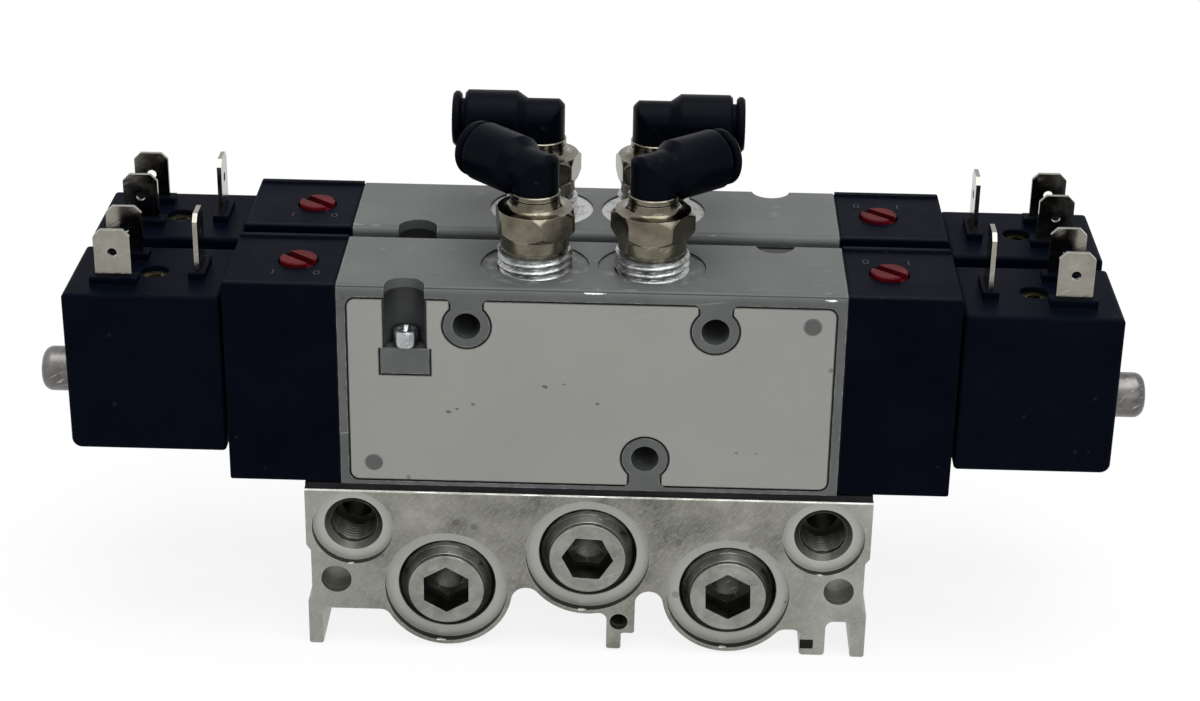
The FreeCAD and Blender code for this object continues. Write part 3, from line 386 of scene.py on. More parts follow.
def bodyGrey():
    finish = bodyFinish
    material, tree, shader, place = startMaterial("bodyGrey", finish)
    cloud = toneCloud(tree, place, 70.0, finish["light"], finish["dark"])
    scratch = useGroup(tree, "scratch", {"Vector": place, "Angle": 0.15, "Length": 30.0, "Scale": 1500.0,
                                         "Amount": 0.70})
    color = coverColor(tree, scratch.outputs["Mask"], 0.28, cloud.outputs["Color"], finish["bare"])
    edge = useGroup(tree, "edge", {"Vector": place, "Radius": 0.0003, "Breakup": 0.46})
    color = coverColor(tree, edge.outputs["Mask"], 0.5, color, finish["bare"])
    specks = useGroup(tree, "speck", {"Vector": place, "Scale": 260.0, "Size": 0.1, "Share": 0.93})
    color = coverColor(tree, specks.outputs["Mask"], 0.6, color, finish["grime"])
    for x, y, z, wide, tall in finish["chips"]:
        chip = patchMask(tree, place, (x, y, z), (wide, 0.8 * tall, tall))
        color = mixColor(tree, chip, color, finish["chip"])
    parts = addNode(tree, "ShaderNodeSeparateXYZ", {"Vector": place})
    depth = mathNode(tree, "ABSOLUTE", parts.outputs["Y"])
    # Painted shade in the gap behind the plate's edge
    groove = betweenMask(tree, depth, *(at * mm for at in finish["plateGapShadeDepth"]))
    color = coverColor(tree, groove, 0.9, color, finish["groove"])
    color = mixColor(tree, ringMask(tree, place), color, finish["bare"])
    # Painted shade in the screw channels
    color = mixColor(tree, pocketMask(tree, parts), color, finish["groove"])
    # Painted shade in narrow gaps and inner corners
    crevice = useGroup(tree, "crevice", {"Distance": 0.0008})
    color = coverColor(tree, crevice.outputs["Mask"], 0.92, color, finish["groove"])
    tree.links.new(color, shader.inputs["Base Color"])
    grain = useGroup(tree, "grain", {"Vector": place, "Scale": 1300.0})
    uneven = rangeNode(tree, cloud.outputs["Mask"], 0.0, 1.0, 0.42, 0.54)
    tree.links.new(uneven, shader.inputs["Roughness"])
    bumpFrom(tree, shader, grain.outputs["Height"], 0.00004, 0.7)
    return material


plateFinish = {
    "roughness": 0.55, "specular": 0.3, "light": (0.262, 0.264, 0.243, 1), "dark": (0.232, 0.234, 0.216, 1),
    # edge is a painted shade colour for the dark outline round the plate
    "speck": (0.06, 0.055, 0.05, 1), "edge": (0.006, 0.006, 0.006, 1), "scratch": (0.6, 0.6, 0.57, 1),
    "front": -24.75,
    "marks": ((-7.9, 53.1, 0.62), (-24.8, 47.7, 0.6), (-23.3, 48.3, 0.35), (-20.5, 49.3, 0.42), (1.3, 50.0, 0.5),
              (26.0, 41.0, 0.35), (29.5, 41.0, 0.3), (-4.6, 53.6, 0.3)),
}


def plateGrey():
    finish = plateFinish
    material, tree, shader, place = startMaterial("plateGrey", finish)
    cloud = toneCloud(tree, place, 28.0, finish["light"], finish["dark"])
    specks = useGroup(tree, "speck", {"Vector": place, "Scale": 190.0, "Size": 0.09, "Share": 0.9})
    color = coverColor(tree, specks.outputs["Mask"], 0.55, cloud.outputs["Color"], finish["speck"])
    for x, z, size in finish["marks"]:
        mark = patchMask(tree, place, (x, finish["front"], z), (size, size, 0.6 * size))
        color = coverColor(tree, mark, 0.8, color, finish["speck"])
    scratch = useGroup(tree, "scratch", {"Vector": place, "Angle": 0.4, "Length": 25.0, "Scale": 900.0,
                                         "Amount": 0.73})
    color = coverColor(tree, scratch.outputs["Mask"], 0.12, color, finish["scratch"])
    # Painted shade in narrow gaps, and a painted dark outline along the plate's edges
    crevice = useGroup(tree, "crevice", {"Distance": 0.0005})
    border = useGroup(tree, "edge", {"Vector": place, "Radius": 0.00032, "Breakup": -0.6})
    outlineShade = mathNode(tree, "MAXIMUM", crevice.outputs["Mask"], border.outputs["Mask"])
    color = coverColor(tree, outlineShade, 0.9, color, finish["edge"])
    tree.links.new(color, shader.inputs["Base Color"])
    grain = useGroup(tree, "grain", {"Vector": place, "Scale": 2600.0})
    bumpFrom(tree, shader, grain.outputs["Height"], 0.000035, 0.8)
    return material


manifoldFinish = {
    "roughness": 0.4, "metallic": 1.0, "face": (0.275, 0.275, 0.245, 1), "dull": (0.125, 0.124, 0.108, 1),
    "bright": (0.52, 0.52, 0.485, 1), "turned": (0.42, 0.42, 0.39, 1), "turnedMetallic": 0.25,
    # wall is a painted shade colour for the recess walls and the bores
    "wall": (0.035, 0.034, 0.029, 1), "stain": (0.05, 0.047, 0.038, 1), "mark": (0.004, 0.004, 0.005, 1),
    "broadLight": (1.2, 1.2, 1.19, 1), "broadDark": (0.78, 0.78, 0.77, 1), "worn": (0.8, 0.8, 0.77, 1),
    "glint": (0.97, 0.97, 0.95, 1), "topHighlight": (0.95, 0.95, 0.93, 1), "ends": (30.0, 44.0),
    "hatching": ((0.9, 0.56, 0.16), (-0.7, 0.60, 0.14), (0.75, 0.53, 0.12)),
}
legMark = {"x": (38.9, 41.3), "z": (1.5, 3.4), "ragged": 0.12}
topGlint = {"z": 31.66, "y": -24.98}
recessShadeSizes = {
    "wall": {"main": 11.27, "pilot": 7.43, "inner": 0.976, "depth": (0.03, 1.45)},
    "bore": {"main": 8.8, "pilot": 5.5, "inner": 0.0, "depth": (1.54, 17.15)},
}
wallGlints = {
    "tall": 0.16, "deep": 0.5,
    "spots": ((-26.6, -25.0, 1.32, 1.1), (-0.9, -25.0, 8.42, 1.1), (24.9, -25.0, 1.32, 0.9),
              (-42.6, -25.0, 16.9, 0.6), (41.9, -25.0, 16.9, 0.6)),
}


# One in a ring about each port axis and between two depths: painted shade on the walls of the round
# recesses, or in the bores behind them
def portShadeMask(tree, parts, sizes):
    places = [(x, z, sizes["main"]) for x, z in layout["galleries"].values()]
    places += [(sign * layout["pilotPort"][0], layout["pilotPort"][1], sizes["pilot"]) for sign in (-1, 1)]
    total = None
    for x, z, radius in places:
        reach = reachNode(tree, mathNode(tree, "SUBTRACT", parts.outputs["X"], x * mm),
                          mathNode(tree, "SUBTRACT", parts.outputs["Z"], z * mm))
        ring = betweenMask(tree, reach, sizes["inner"] * radius * mm, radius * mm)
        total = ring if total is None else mathNode(tree, "MAXIMUM", total, ring)
    shallow, deep = (-layout["manifoldFront"] - at for at in sizes["depth"])
    band = betweenMask(tree, mathNode(tree, "ABSOLUTE", parts.outputs["Y"]), deep * mm, shallow * mm)
    return mathNode(tree, "MULTIPLY", total, band)


# A painted highlight along the upper front edge, broken as on a sawn and brushed corner
def topHighlightMask(tree, place, parts):
    broken = addNode(tree, "ShaderNodeTexNoise", {"Vector": place, "Scale": 160.0, "Detail": 2.0})
    corner = mathNode(tree, "MULTIPLY", mathNode(tree, "GREATER_THAN", parts.outputs["Z"], topGlint["z"] * mm),
                      mathNode(tree, "LESS_THAN", parts.outputs["Y"], topGlint["y"] * mm))
    return mathNode(tree, "MULTIPLY", corner, rangeNode(tree, broken.outputs["Fac"], 0.47, 0.6, 0.0, 0.85))


def legMarkMask(tree, place, parts):
    ragged = addNode(tree, "ShaderNodeTexNoise", {"Vector": place, "Scale": 2500.0})
    shift = mathNode(tree, "MULTIPLY", mathNode(tree, "SUBTRACT", ragged.outputs["Fac"], 0.5), legMark["ragged"] * mm)
    across = betweenMask(tree, mathNode(tree, "ADD", parts.outputs["X"], shift), *(at * mm for at in legMark["x"]))
    tall = betweenMask(tree, mathNode(tree, "ADD", parts.outputs["Z"], shift), *(at * mm for at in legMark["z"]))
    front = mathNode(tree, "LESS_THAN", parts.outputs["Y"], (layout["manifoldFront"] + 0.02) * mm)
    return mathNode(tree, "MULTIPLY", mathNode(tree, "MULTIPLY", across, tall), front)


def rawAluminium():
    finish = manifoldFinish
    material, tree, shader, place = startMaterial("rawAluminium", finish)
    parts = addNode(tree, "ShaderNodeSeparateXYZ", {"Vector": place})
    cloud = toneCloud(tree, place, 130.0, finish["face"], finish["dull"])
    broad = toneCloud(tree, place, 32.0, finish["broadLight"], finish["broadDark"])
    color = mixColor(tree, 1.0, cloud.outputs["Color"], broad.outputs["Color"], "MULTIPLY")
    near, far = (at * mm for at in finish["ends"])
    ends = rangeNode(tree, mathNode(tree, "ABSOLUTE", parts.outputs["X"]), near, far, 0.0, 0.4)
    color = mixColor(tree, ends, color, finish["turned"])
    for angle, amount, share in finish["hatching"]:
        scratch = useGroup(tree, "scratch", {"Vector": place, "Angle": angle, "Length": 7.0, "Scale": 5200.0,
                                             "Amount": amount})
        color = coverColor(tree, scratch.outputs["Mask"], share, color, finish["bright"])
    floor = (layout["manifoldFront"] + layout["recessDepth"]) * mm
    gap = mathNode(tree, "ADD", mathNode(tree, "ABSOLUTE", parts.outputs["Y"]), floor)
    turned = mathNode(tree, "LESS_THAN", mathNode(tree, "ABSOLUTE", gap), 0.0001)
    color = coverColor(tree, turned, 0.75, color, finish["turned"])
    tree.links.new(rangeNode(tree, turned, 0.0, 1.0, 1.0, finish["turnedMetallic"]), shader.inputs["Metallic"])
    # Painted shade on the recess walls and in the bores
    color = coverColor(tree, portShadeMask(tree, parts, recessShadeSizes["wall"]), 0.9, color, finish["wall"])
    color = coverColor(tree, portShadeMask(tree, parts, recessShadeSizes["bore"]), 0.8, color, finish["wall"])
    for x, y, z, size in wallGlints["spots"]:
        glint = patchMask(tree, place, (x, y, z), (size, wallGlints["deep"], wallGlints["tall"]))
        color = mixColor(tree, glint, color, finish["glint"])
    stain = useGroup(tree, "speck", {"Vector": place, "Scale": 300.0, "Size": 0.2, "Share": 0.88})
    color = coverColor(tree, stain.outputs["Mask"], 0.4, color, finish["stain"])
    edge = useGroup(tree, "edge", {"Vector": place, "Radius": 0.0002, "Breakup": 0.42})
    color = coverColor(tree, edge.outputs["Mask"], 0.55, color, finish["worn"])
    color = mixColor(tree, topHighlightMask(tree, place, parts), color, finish["topHighlight"])
    color = coverColor(tree, legMarkMask(tree, place, parts), 0.96, color, finish["mark"])
    tree.links.new(color, shader.inputs["Base Color"])
    uneven = rangeNode(tree, cloud.outputs["Mask"], 0.0, 1.0, 0.34, 0.48)
    tree.links.new(uneven, shader.inputs["Roughness"])
    milled = useGroup(tree, "scratch", {"Vector": place, "Angle": 0.9, "Length": 8.0, "Scale": 3200.0})
    bumpFrom(tree, shader, milled.outputs["Height"], 0.00006, 0.55)
    return material


metalFinish = {
    "nickel": {"roughness": 0.18, "metallic": 1.0, "light": (0.20, 0.183, 0.140, 1), "dark": (0.088, 0.078, 0.056, 1),
               "scratch": 0.68, "share": 0.2, "bump": 0.00002},
    "thread": {"roughness": 0.3, "metallic": 1.0, "light": (0.46, 0.475, 0.47, 1), "dark": (0.13, 0.137, 0.137, 1),
               "scratch": 0.58, "share": 0.45, "bump": 0.00005},
    "plugSteel": {"roughness": 0.3, "metallic": 1.0, "light": (0.33, 0.33, 0.305, 1),
                  "dark": (0.17, 0.17, 0.155, 1), "scratch": 0.66, "share": 0.12, "bump": 0.00002},
    # plugSteelShade is a darker copy of the plug steel, painted shade in the hex socket and round the plug's nose
    "plugSteelShade": {"roughness": 0.35, "metallic": 1.0, "light": (0.10, 0.102, 0.092, 1),
                   "dark": (0.035, 0.036, 0.033, 1), "scratch": 0.66, "share": 0.1, "bump": 0.00002},
    "tubeSteel": {"roughness": 0.3, "metallic": 1.0, "light": (0.20, 0.195, 0.188, 1),
                  "dark": (0.07, 0.068, 0.065, 1), "scratch": 0.66, "share": 0.3, "bump": 0.00002},
    "zincScrew": {"roughness": 0.24, "metallic": 1.0, "light": (0.50, 0.53, 0.54, 1), "dark": (0.16, 0.175, 0.18, 1),
                  "scratch": 0.6, "share": 0.35, "bump": 0.00006},
    "tinBlade": {"roughness": 0.13, "metallic": 1.0, "light": (0.31, 0.296, 0.26, 1), "dark": (0.21, 0.20, 0.172, 1),
                 "scratch": 0.66, "share": 0.16, "bump": 0.00002},
    "insertBrass": {"roughness": 0.22, "metallic": 1.0, "light": (0.60, 0.52, 0.27, 1), "dark": (0.16, 0.13, 0.05, 1),
                    "scratch": 0.6, "share": 0.4, "bump": 0.00003},
    "spoolMetal": {"roughness": 0.3, "metallic": 1.0, "light": (0.50, 0.50, 0.51, 1), "dark": (0.36, 0.36, 0.37, 1),
                   "scratch": 0.66, "share": 0.3, "bump": 0.00002},
}


def bareMetal(kind):
    finish = metalFinish[kind]
    material, tree, shader, place = startMaterial(kind, finish)
    cloud = toneCloud(tree, place, 260.0, finish["light"], finish["dark"])
    scratch = useGroup(tree, "scratch", {"Vector": place, "Angle": 0.5, "Length": 10.0, "Scale": 2400.0,
                                         "Amount": finish["scratch"]})
    color = coverColor(tree, scratch.outputs["Mask"], finish["share"], cloud.outputs["Color"], (0.85, 0.84, 0.82, 1))
    edge = useGroup(tree, "edge", {"Vector": place, "Radius": 0.0002, "Breakup": 0.3})
    color = coverColor(tree, edge.outputs["Mask"], 0.45, color, (0.85, 0.83, 0.78, 1))
    tree.links.new(color, shader.inputs["Base Color"])
    uneven = rangeNode(tree, cloud.outputs["Mask"], 0.0, 1.0, finish["roughness"] - 0.06, finish["roughness"] + 0.1)
    tree.links.new(uneven, shader.inputs["Roughness"])
    bumpFrom(tree, shader, scratch.outputs["Height"], finish["bump"], 0.6)
    return material


redFinish = {"roughness": 0.4, "specular": 0.05, "light": (0.092, 0.0034, 0.0064, 1),
             "dark": (0.048, 0.0018, 0.0038, 1), "worn": (0.16, 0.018, 0.022, 1), "dust": (0.08, 0.01, 0.01, 1)}


def overrideRed():
    finish = redFinish
    material, tree, shader, place = startMaterial("overrideRed", finish)
    cloud = toneCloud(tree, place, 300.0, finish["light"], finish["dark"])
    edge = useGroup(tree, "edge", {"Vector": place, "Radius": 0.0003, "Breakup": 0.35})
    color = coverColor(tree, edge.outputs["Mask"], 0.5, cloud.outputs["Color"], finish["worn"])
    dust = useGroup(tree, "speck", {"Vector": place, "Scale": 900.0, "Size": 0.25, "Share": 0.85})
    color = coverColor(tree, dust.outputs["Mask"], 0.4, color, finish["dust"])
    tree.links.new(color, shader.inputs["Base Color"])
    grain = useGroup(tree, "grain", {"Vector": place, "Scale": 2500.0})
    bumpFrom(tree, shader, grain.outputs["Height"], 0.00003, 0.7)
    return material


rubberFinish = {"roughness": 0.7, "specular": 0.1, "light": (0.014, 0.014, 0.016, 1),
                "dark": (0.006, 0.006, 0.007, 1)}


def blackRubber():
    finish = rubberFinish
    material, tree, shader, place = startMaterial("blackRubber", finish)
    cloud = toneCloud(tree, place, 200.0, finish["light"], finish["dark"])
    tree.links.new(cloud.outputs["Color"], shader.inputs["Base Color"])
    grain = useGroup(tree, "grain", {"Vector": place, "Scale": 1800.0})
    bumpFrom(tree, shader, grain.outputs["Height"], 0.00006, 0.8)
    return material


numeralFinish = {"roughness": 0.6, "specular": 0.2, "light": (0.020, 0.021, 0.024, 1),
                 "dark": (0.008, 0.009, 0.011, 1)}


def numeralGrey():
    finish = numeralFinish
    material, tree, shader, place = startMaterial("numeralGrey", finish)
    cloud = toneCloud(tree, place, 900.0, finish["light"], finish["dark"])
    tree.links.new(cloud.outputs["Color"], shader.inputs["Base Color"])
    return material


rubber = blackRubber()
turnedMetal = bareMetal("spoolMetal")
materials = {
    "housing_black": blackPlastic("housing"),
    "coil_black": blackPlastic("coil"),
    "fitting_black": blackPlastic("fitting"),
    "piston_black": blackPlastic("piston"),
    "body_grey": bodyGrey(),
    "plate_grey": plateGrey(),
    "manifold_aluminium": rawAluminium(),
    "fitting_nickel": bareMetal("nickel"),
    "thread_bright": bareMetal("thread"),
    "plug_steel": bareMetal("plugSteel"),
    "plug_socket": bareMetal("plugSteelShade"),
    "tube_steel": bareMetal("tubeSteel"),
    "screw_steel": bareMetal("zincScrew"),
    "terminal_tin": bareMetal("tinBlade"),
    "insert_brass": bareMetal("insertBrass"),
    "spool_aluminium": turnedMetal,
    "override_red": overrideRed(),
    "gasket_rubber": rubber,
    "seal_rubber": rubber,
    "spring_steel": turnedMetal,
    "numeral_grey": numeralGrey(),
}
print("materials made", len(materials))


# A closed solid of rings: each is a distance along the axis and a radius, a number or a rule of the angle
def ringPiece(name, rings, start, axis, segments, material, body):
    mesh = bmesh.new()
    frameMatrix = Vector((0, 0, 1)).rotation_difference(Vector(axis)).to_matrix().to_4x4()
    frameMatrix.translation = Vector(start)
    loops = []
    for along, radius in rings:
        rule = radius if callable(radius) else None
        if rule is None and radius == 0:
            loops.append([mesh.verts.new(frameMatrix @ Vector((0, 0, along)))])
            continue
        loop = []
        for index in range(segments):
            angle = 2 * math.pi * index / segments
            reach = rule(angle, along) if rule else radius
            point = Vector((reach * math.cos(angle), reach * math.sin(angle), along))
            loop.append(mesh.verts.new(frameMatrix @ point))
        loops.append(loop)
    for first, second in zip(loops, loops[1:]):
        for index in range(segments):
            following = (index + 1) % segments
            if len(first) == 1:
                mesh.faces.new((first[0], second[following], second[index]))
            elif len(second) == 1:
                mesh.faces.new((first[index], first[following], second[0]))
            else:
                mesh.faces.new((first[index], first[following], second[following], second[index]))
    bmesh.ops.recalc_face_normals(mesh, faces=mesh.faces)
    return finishPiece(name, mesh, material, body)


def finishPiece(name, mesh, material, body, angle=32.0):
    data = bpy.data.meshes.new(name)
    mesh.to_mesh(data)
    mesh.free()
    piece = bpy.data.objects.new(name, data)
    bpy.context.scene.collection.objects.link(piece)
    data.materials.append(materials[material])
    smoothByAngle(data, angle)
    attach(piece, body)
    return piece


def smoothByAngle(data, angle):
    data.shade_smooth()
    data.set_sharp_from_angle(angle=math.radians(angle))


def hexRule(flats, turn=0.0, limit=None):
    def radius(angle, along):
        inside = (angle - math.radians(turn)) % (math.pi / 3) - math.pi / 6
        reach = flats / 2 / math.cos(inside)
        return min(reach, limit) if limit else reach
    return radius


# The radius of a screw thread at an angle and a height, with crests that fade at its ends
def threadRule(outer, depth, pitch, fadeStart=None, fadeEnd=None, crest=0.12):
    def radius(angle, along):
        phase = (along / pitch - angle / (2 * math.pi)) % 1.0
        groove = min(1.0, max(0.0, (abs(phase - 0.5) * 2 - crest) / (1 - 2 * crest)))
        fade = 1.0
        if fadeStart is not None:
            fade = min(1.0, max(0.0, (along - fadeStart) / pitch), max(0.0, (fadeEnd - along) / pitch))
        return outer - depth * groove * fade
    return radius


studSizes = {"threadStart": 30.4, "threadTop": 41.75, "outer": 6.58, "depth": 0.62, "pitch": 1.337,
             "relief": 5.7, "reliefTop": 42.2, "neck": 6.05, "neckTop": 44.7, "flats": 13.0, "hexTop": 49.3,
             "chamferIn": 0.9, "chamferHigh": 1.05, "chamferSteps": 6,
             "flare": ((0.0, 5.5), (0.12, 5.15), (0.3, 4.8), (0.55, 4.55), (0.9, 4.4)),
             "collar": 4.4, "groove": (51.2, 51.5, 4.1), "collarTop": 52.3, "bore": 3.75, "boreBottom": 41.7,
             "segments": 144}
hexTurns = {("front", "left"): -20.4, ("front", "right"): -3.6, ("rear", "left"): 17.0, ("rear", "right"): -18.5}


def fittingStud(station, side):
    sizes = studSizes
    name = station + "_" + side + "_stud"
    place = Vector((layout["sides"][side] * layout["outletX"], layout["stations"][station], layout["valveBase"])) * mm
    turn = hexTurns[station, side]
    corner = sizes["flats"] / math.sqrt(3)
    thread = threadRule(sizes["outer"], sizes["depth"], sizes["pitch"])
    rings = [(sizes["threadStart"], 0), (sizes["threadStart"], sizes["outer"] - sizes["depth"])]
    height = sizes["threadStart"] + 0.1
    step = sizes["pitch"] / 14
    while height < sizes["threadTop"]:
        rings.append((height, thread))
        height += step
    rings += [
        (sizes["threadTop"], sizes["relief"]), (sizes["reliefTop"], sizes["relief"]),
        (sizes["reliefTop"] + 0.05, sizes["neck"] - 0.12), (sizes["reliefTop"] + 0.2, sizes["neck"]),
        (sizes["neckTop"], sizes["neck"]),
    ]
    shares = [index / sizes["chamferSteps"] for index in range(sizes["chamferSteps"] + 1)]
    chamfer = [(share, corner - sizes["chamferIn"] * (1 - share)) for share in shares]
    for share, limit in chamfer:
        rings.append((sizes["neckTop"] + share * sizes["chamferHigh"], hexRule(sizes["flats"], turn, limit)))
    for share, limit in reversed(chamfer):
        rings.append((sizes["hexTop"] - share * sizes["chamferHigh"], hexRule(sizes["flats"], turn, limit)))
    rings += [(sizes["hexTop"] + rise, radius) for rise, radius in sizes["flare"]]
    low, high, groove = sizes["groove"]
    rings += [
        (low, sizes["collar"]), (low + 0.06, groove), (high - 0.06, groove), (high, sizes["collar"]),
        (sizes["collarTop"] - 0.15, sizes["collar"]), (sizes["collarTop"], sizes["collar"] - 0.15),
        (sizes["collarTop"], sizes["bore"]), (sizes["boreBottom"], sizes["bore"]), (sizes["boreBottom"], 0),
    ]
    scaled = [(along * mm, scaleRule(radius)) for along, radius in rings]
    stud = ringPiece(name + "_turned", scaled, place, (0, 0, 1), sizes["segments"], "fitting_nickel",
                     "valve_block")
    stud.data.materials.append(materials["thread_bright"])
    top = place.z + sizes["threadTop"] * mm
    for face in stud.data.polygons:
        if face.center.z < top:
            face.material_index = 1
    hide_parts(name)
    return stud


# The same radius in metres
def scaleRule(radius):
    if not callable(radius):
        return radius * mm
    return lambda angle, along: radius(angle, along / mm) * mm


plugSizes = {"face": -26.05, "length": 11.0, "outer": 8.33, "endRadius": 7.6, "depth": 0.62, "pitch": 1.337,
             "nose": ((0.0, 5.85), (0.05, 5.95), (0.05, 6.1), (0.0, 6.2), (0.0, 6.6), (0.06, 6.78), (0.22, 6.88),
                      (0.95, 6.93), (1.02, 6.83), (1.12, 6.93), (2.2, 7.95)),
             "flats": 8.0, "socketDepth": 6.0, "drill": 2.0, "segments": 144,
             "turns": {"port_5": 30.0, "port_1": 3.0, "port_3": 28.0}}


def portPlug(port):
    sizes = plugSizes
    x, z = layout["galleries"][port]
    thread = threadRule(sizes["outer"], sizes["depth"], sizes["pitch"])
    socket = hexRule(sizes["flats"], sizes["turns"][port])
    rings = [
        (sizes["socketDepth"] + sizes["drill"], 0), (sizes["socketDepth"], 2.9),
        (sizes["socketDepth"] - 0.05, socket), (0.1, socket),
        (0.0, hexRule(sizes["flats"] + 0.12, sizes["turns"][port])),
    ]
    rings += sizes["nose"]
    start, edge = sizes["nose"][-1]
    along = start + 0.05
    step = sizes["pitch"] / 14
    while along < sizes["length"] - 0.5:
        limit = edge + (along - start)
        rings.append((along, lambda angle, at, cap=limit: min(cap, thread(angle, at))))
        along += step
    rings += [(sizes["length"] - 0.3, sizes["endRadius"]), (sizes["length"], sizes["endRadius"] - 0.3),
              (sizes["length"], 0)]
    scaled = [(depth * mm, scaleRule(radius)) for depth, radius in rings]
    start = (x * mm, sizes["face"] * mm, z * mm)
    plug = ringPiece(port + "_plug_turned", scaled, start, (0, 1, 0), sizes["segments"], "plug_steel",
                     "valve_block")
    plug.data.materials.append(materials["plug_socket"])
    # Painted shade: faces deep in the hex socket and on the outer nose take the darker copy of the plug steel
    for face in plug.data.polygons:
        aside = math.hypot(face.center.x - x * mm, face.center.z - z * mm)
        deep = face.center.y - sizes["face"] * mm
        if (aside < 4.7 * mm and 0.02 * mm < deep < 8.5 * mm) or (aside > 6.9 * mm and deep > 1.0 * mm):
            face.material_index = 1
    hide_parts(port + "_plug")
    return plug


linerSizes = {"wallGap": 0.02, "segments": 96, "steps": 12,
              "main": {"radius": 7.475, "depth": 0.45, "pitch": 1.337, "start": 1.5 + 1.425, "length": 10.4},
              "pilot": {"radius": 4.283, "depth": 0.35, "pitch": 0.907, "start": 1.5 + 1.017, "length": 6.8}}


# The female thread of an open port, as a thin threaded sleeve along the wall
def threadLiner(name, kind, x, z, way):
    sizes = linerSizes[kind]
    wall = sizes["radius"] - linerSizes["wallGap"]
    inner = threadRule(wall - 0.03, sizes["depth"], sizes["pitch"], sizes["start"], sizes["start"] + sizes["length"])
    end = sizes["start"] + sizes["length"]
    rings = [(sizes["start"], wall)]
    along = sizes["start"]
    step = sizes["pitch"] / linerSizes["steps"]
    while along < end:
        rings.append((along, inner))
        along += step
    rings += [(end, wall - 0.03), (end, wall), (sizes["start"], wall)]
    scaled = [(depth * mm, scaleRule(radius)) for depth, radius in rings]
    start = (x * mm, way * -layout["manifoldFront"] * mm, z * mm)
    liner = ringPiece(name, scaled, start, (0, -way, 0), linerSizes["segments"], "manifold_aluminium",
                      "valve_block")
    mesh = bmesh.new()
    mesh.from_mesh(liner.data)
    bmesh.ops.remove_doubles(mesh, verts=mesh.verts, dist=0.000001)
    bmesh.ops.recalc_face_normals(mesh, faces=mesh.faces)
    mesh.to_mesh(liner.data)
    mesh.free()
    smoothByAngle(liner.data, 32.0)
    return liner


screwSizes = {"x": 32.25, "y": 9.5, "bottom": -7.2, "shank": 1.25, "seat": 26.75, "head": 2.2, "top": 29.75,
              "edge": 0.35, "armLength": 1.35, "armHalf": 0.36, "recess": 1.3, "segments": 72}


def crossRule(length, half):
    def radius(angle, along):
        c = max(abs(math.cos(angle)), 1e-6)
        s = max(abs(math.sin(angle)), 1e-6)
        return max(min(length / c, half / s), min(half / c, length / s))
    return radius


def mountingScrew(station, sign):
    sizes = screwSizes
    name = "mounting_screw_" + station + ("_left" if sign < 0 else "_right")
    rings = [
        (sizes["bottom"], 0), (sizes["bottom"], sizes["shank"]), (sizes["seat"], sizes["shank"]),
        (sizes["seat"], sizes["head"] - 0.1), (sizes["seat"] + 0.1, sizes["head"]),
        (sizes["top"] - sizes["edge"], sizes["head"]), (sizes["top"] - 0.1, sizes["head"] - 0.15),
        (sizes["top"], sizes["head"] - sizes["edge"]), (sizes["top"], sizes["armLength"] + 0.12),
        (sizes["top"] - 0.02, crossRule(sizes["armLength"], sizes["armHalf"])),
        (sizes["top"] - sizes["recess"] * 0.6, crossRule(sizes["armLength"] * 0.62, sizes["armHalf"] * 0.9)),
        (sizes["top"] - sizes["recess"], 0),
    ]
    scaled = [(along * mm, scaleRule(radius)) for along, radius in rings]
    start = Vector((sign * sizes["x"], layout["stations"][station] + sign * sizes["y"], layout["valveBase"])) * mm
    screw = ringPiece(name, scaled, start, (0, 0, 1), sizes["segments"], "screw_steel", "valve_block")
    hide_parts("mounting_screws")
    return screw


springSizes = {"inner": 76.993, "outer": 83.947, "fixed": 84.0, "z": 48.8, "mean": 1.45, "wire": 0.25, "turns": 6.4,
               "closed": 0.9, "closedPitch": 0.52, "steps": 30, "sides": 12, "stroke": 1.0}


# A wound return spring with closed ends
def armatureSpring(station, side):
    sizes = springSizes
    name = station + "_" + side + "_armature_spring"
    sign = layout["sides"][side]
    y = layout["stations"][station]
    low = sizes["inner"] + sizes["wire"]
    high = sizes["outer"] - sizes["wire"]
    flat = sizes["closed"] * sizes["closedPitch"]
    count = round(sizes["turns"] * sizes["steps"])
    mesh = bmesh.new()
    loops = []
    for index in range(count + 1):
        turn = sizes["turns"] * index / count
        if turn < sizes["closed"]:
            along = low + turn * sizes["closedPitch"]
        elif turn > sizes["turns"] - sizes["closed"]:
            along = high - (sizes["turns"] - turn) * sizes["closedPitch"]
        else:
            share = (turn - sizes["closed"]) / (sizes["turns"] - 2 * sizes["closed"])
            along = low + flat + share * (high - low - 2 * flat)
        angle = 2 * math.pi * turn
        loop = []
        for step in range(sizes["sides"]):
            around = 2 * math.pi * step / sizes["sides"]
            reach = sizes["mean"] + sizes["wire"] * math.cos(around)
            place = Vector((sign * (along + sizes["wire"] * math.sin(around)), y + reach * math.cos(angle),
                            sizes["z"] + reach * math.sin(angle)))
            loop.append(mesh.verts.new(place * mm))
        loops.append(loop)
    for first, second in zip(loops, loops[1:]):
        for step in range(sizes["sides"]):
            following = (step + 1) % sizes["sides"]
            mesh.faces.new((first[step], first[following], second[following], second[step]))
    mesh.faces.new(loops[0])
    mesh.faces.new(loops[-1])
    bmesh.ops.recalc_face_normals(mesh, faces=mesh.faces)
    spring = finishPiece(name + "_wound", mesh, "spring_steel", "valve_block", 50.0)
    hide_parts(name)
    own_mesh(spring)
    return spring


numeralSizes = {"height": 2.7, "thickness": 0.14, "top": 70.95, "x": 51.85, "aside": 3.8, "ahead": 5.4}


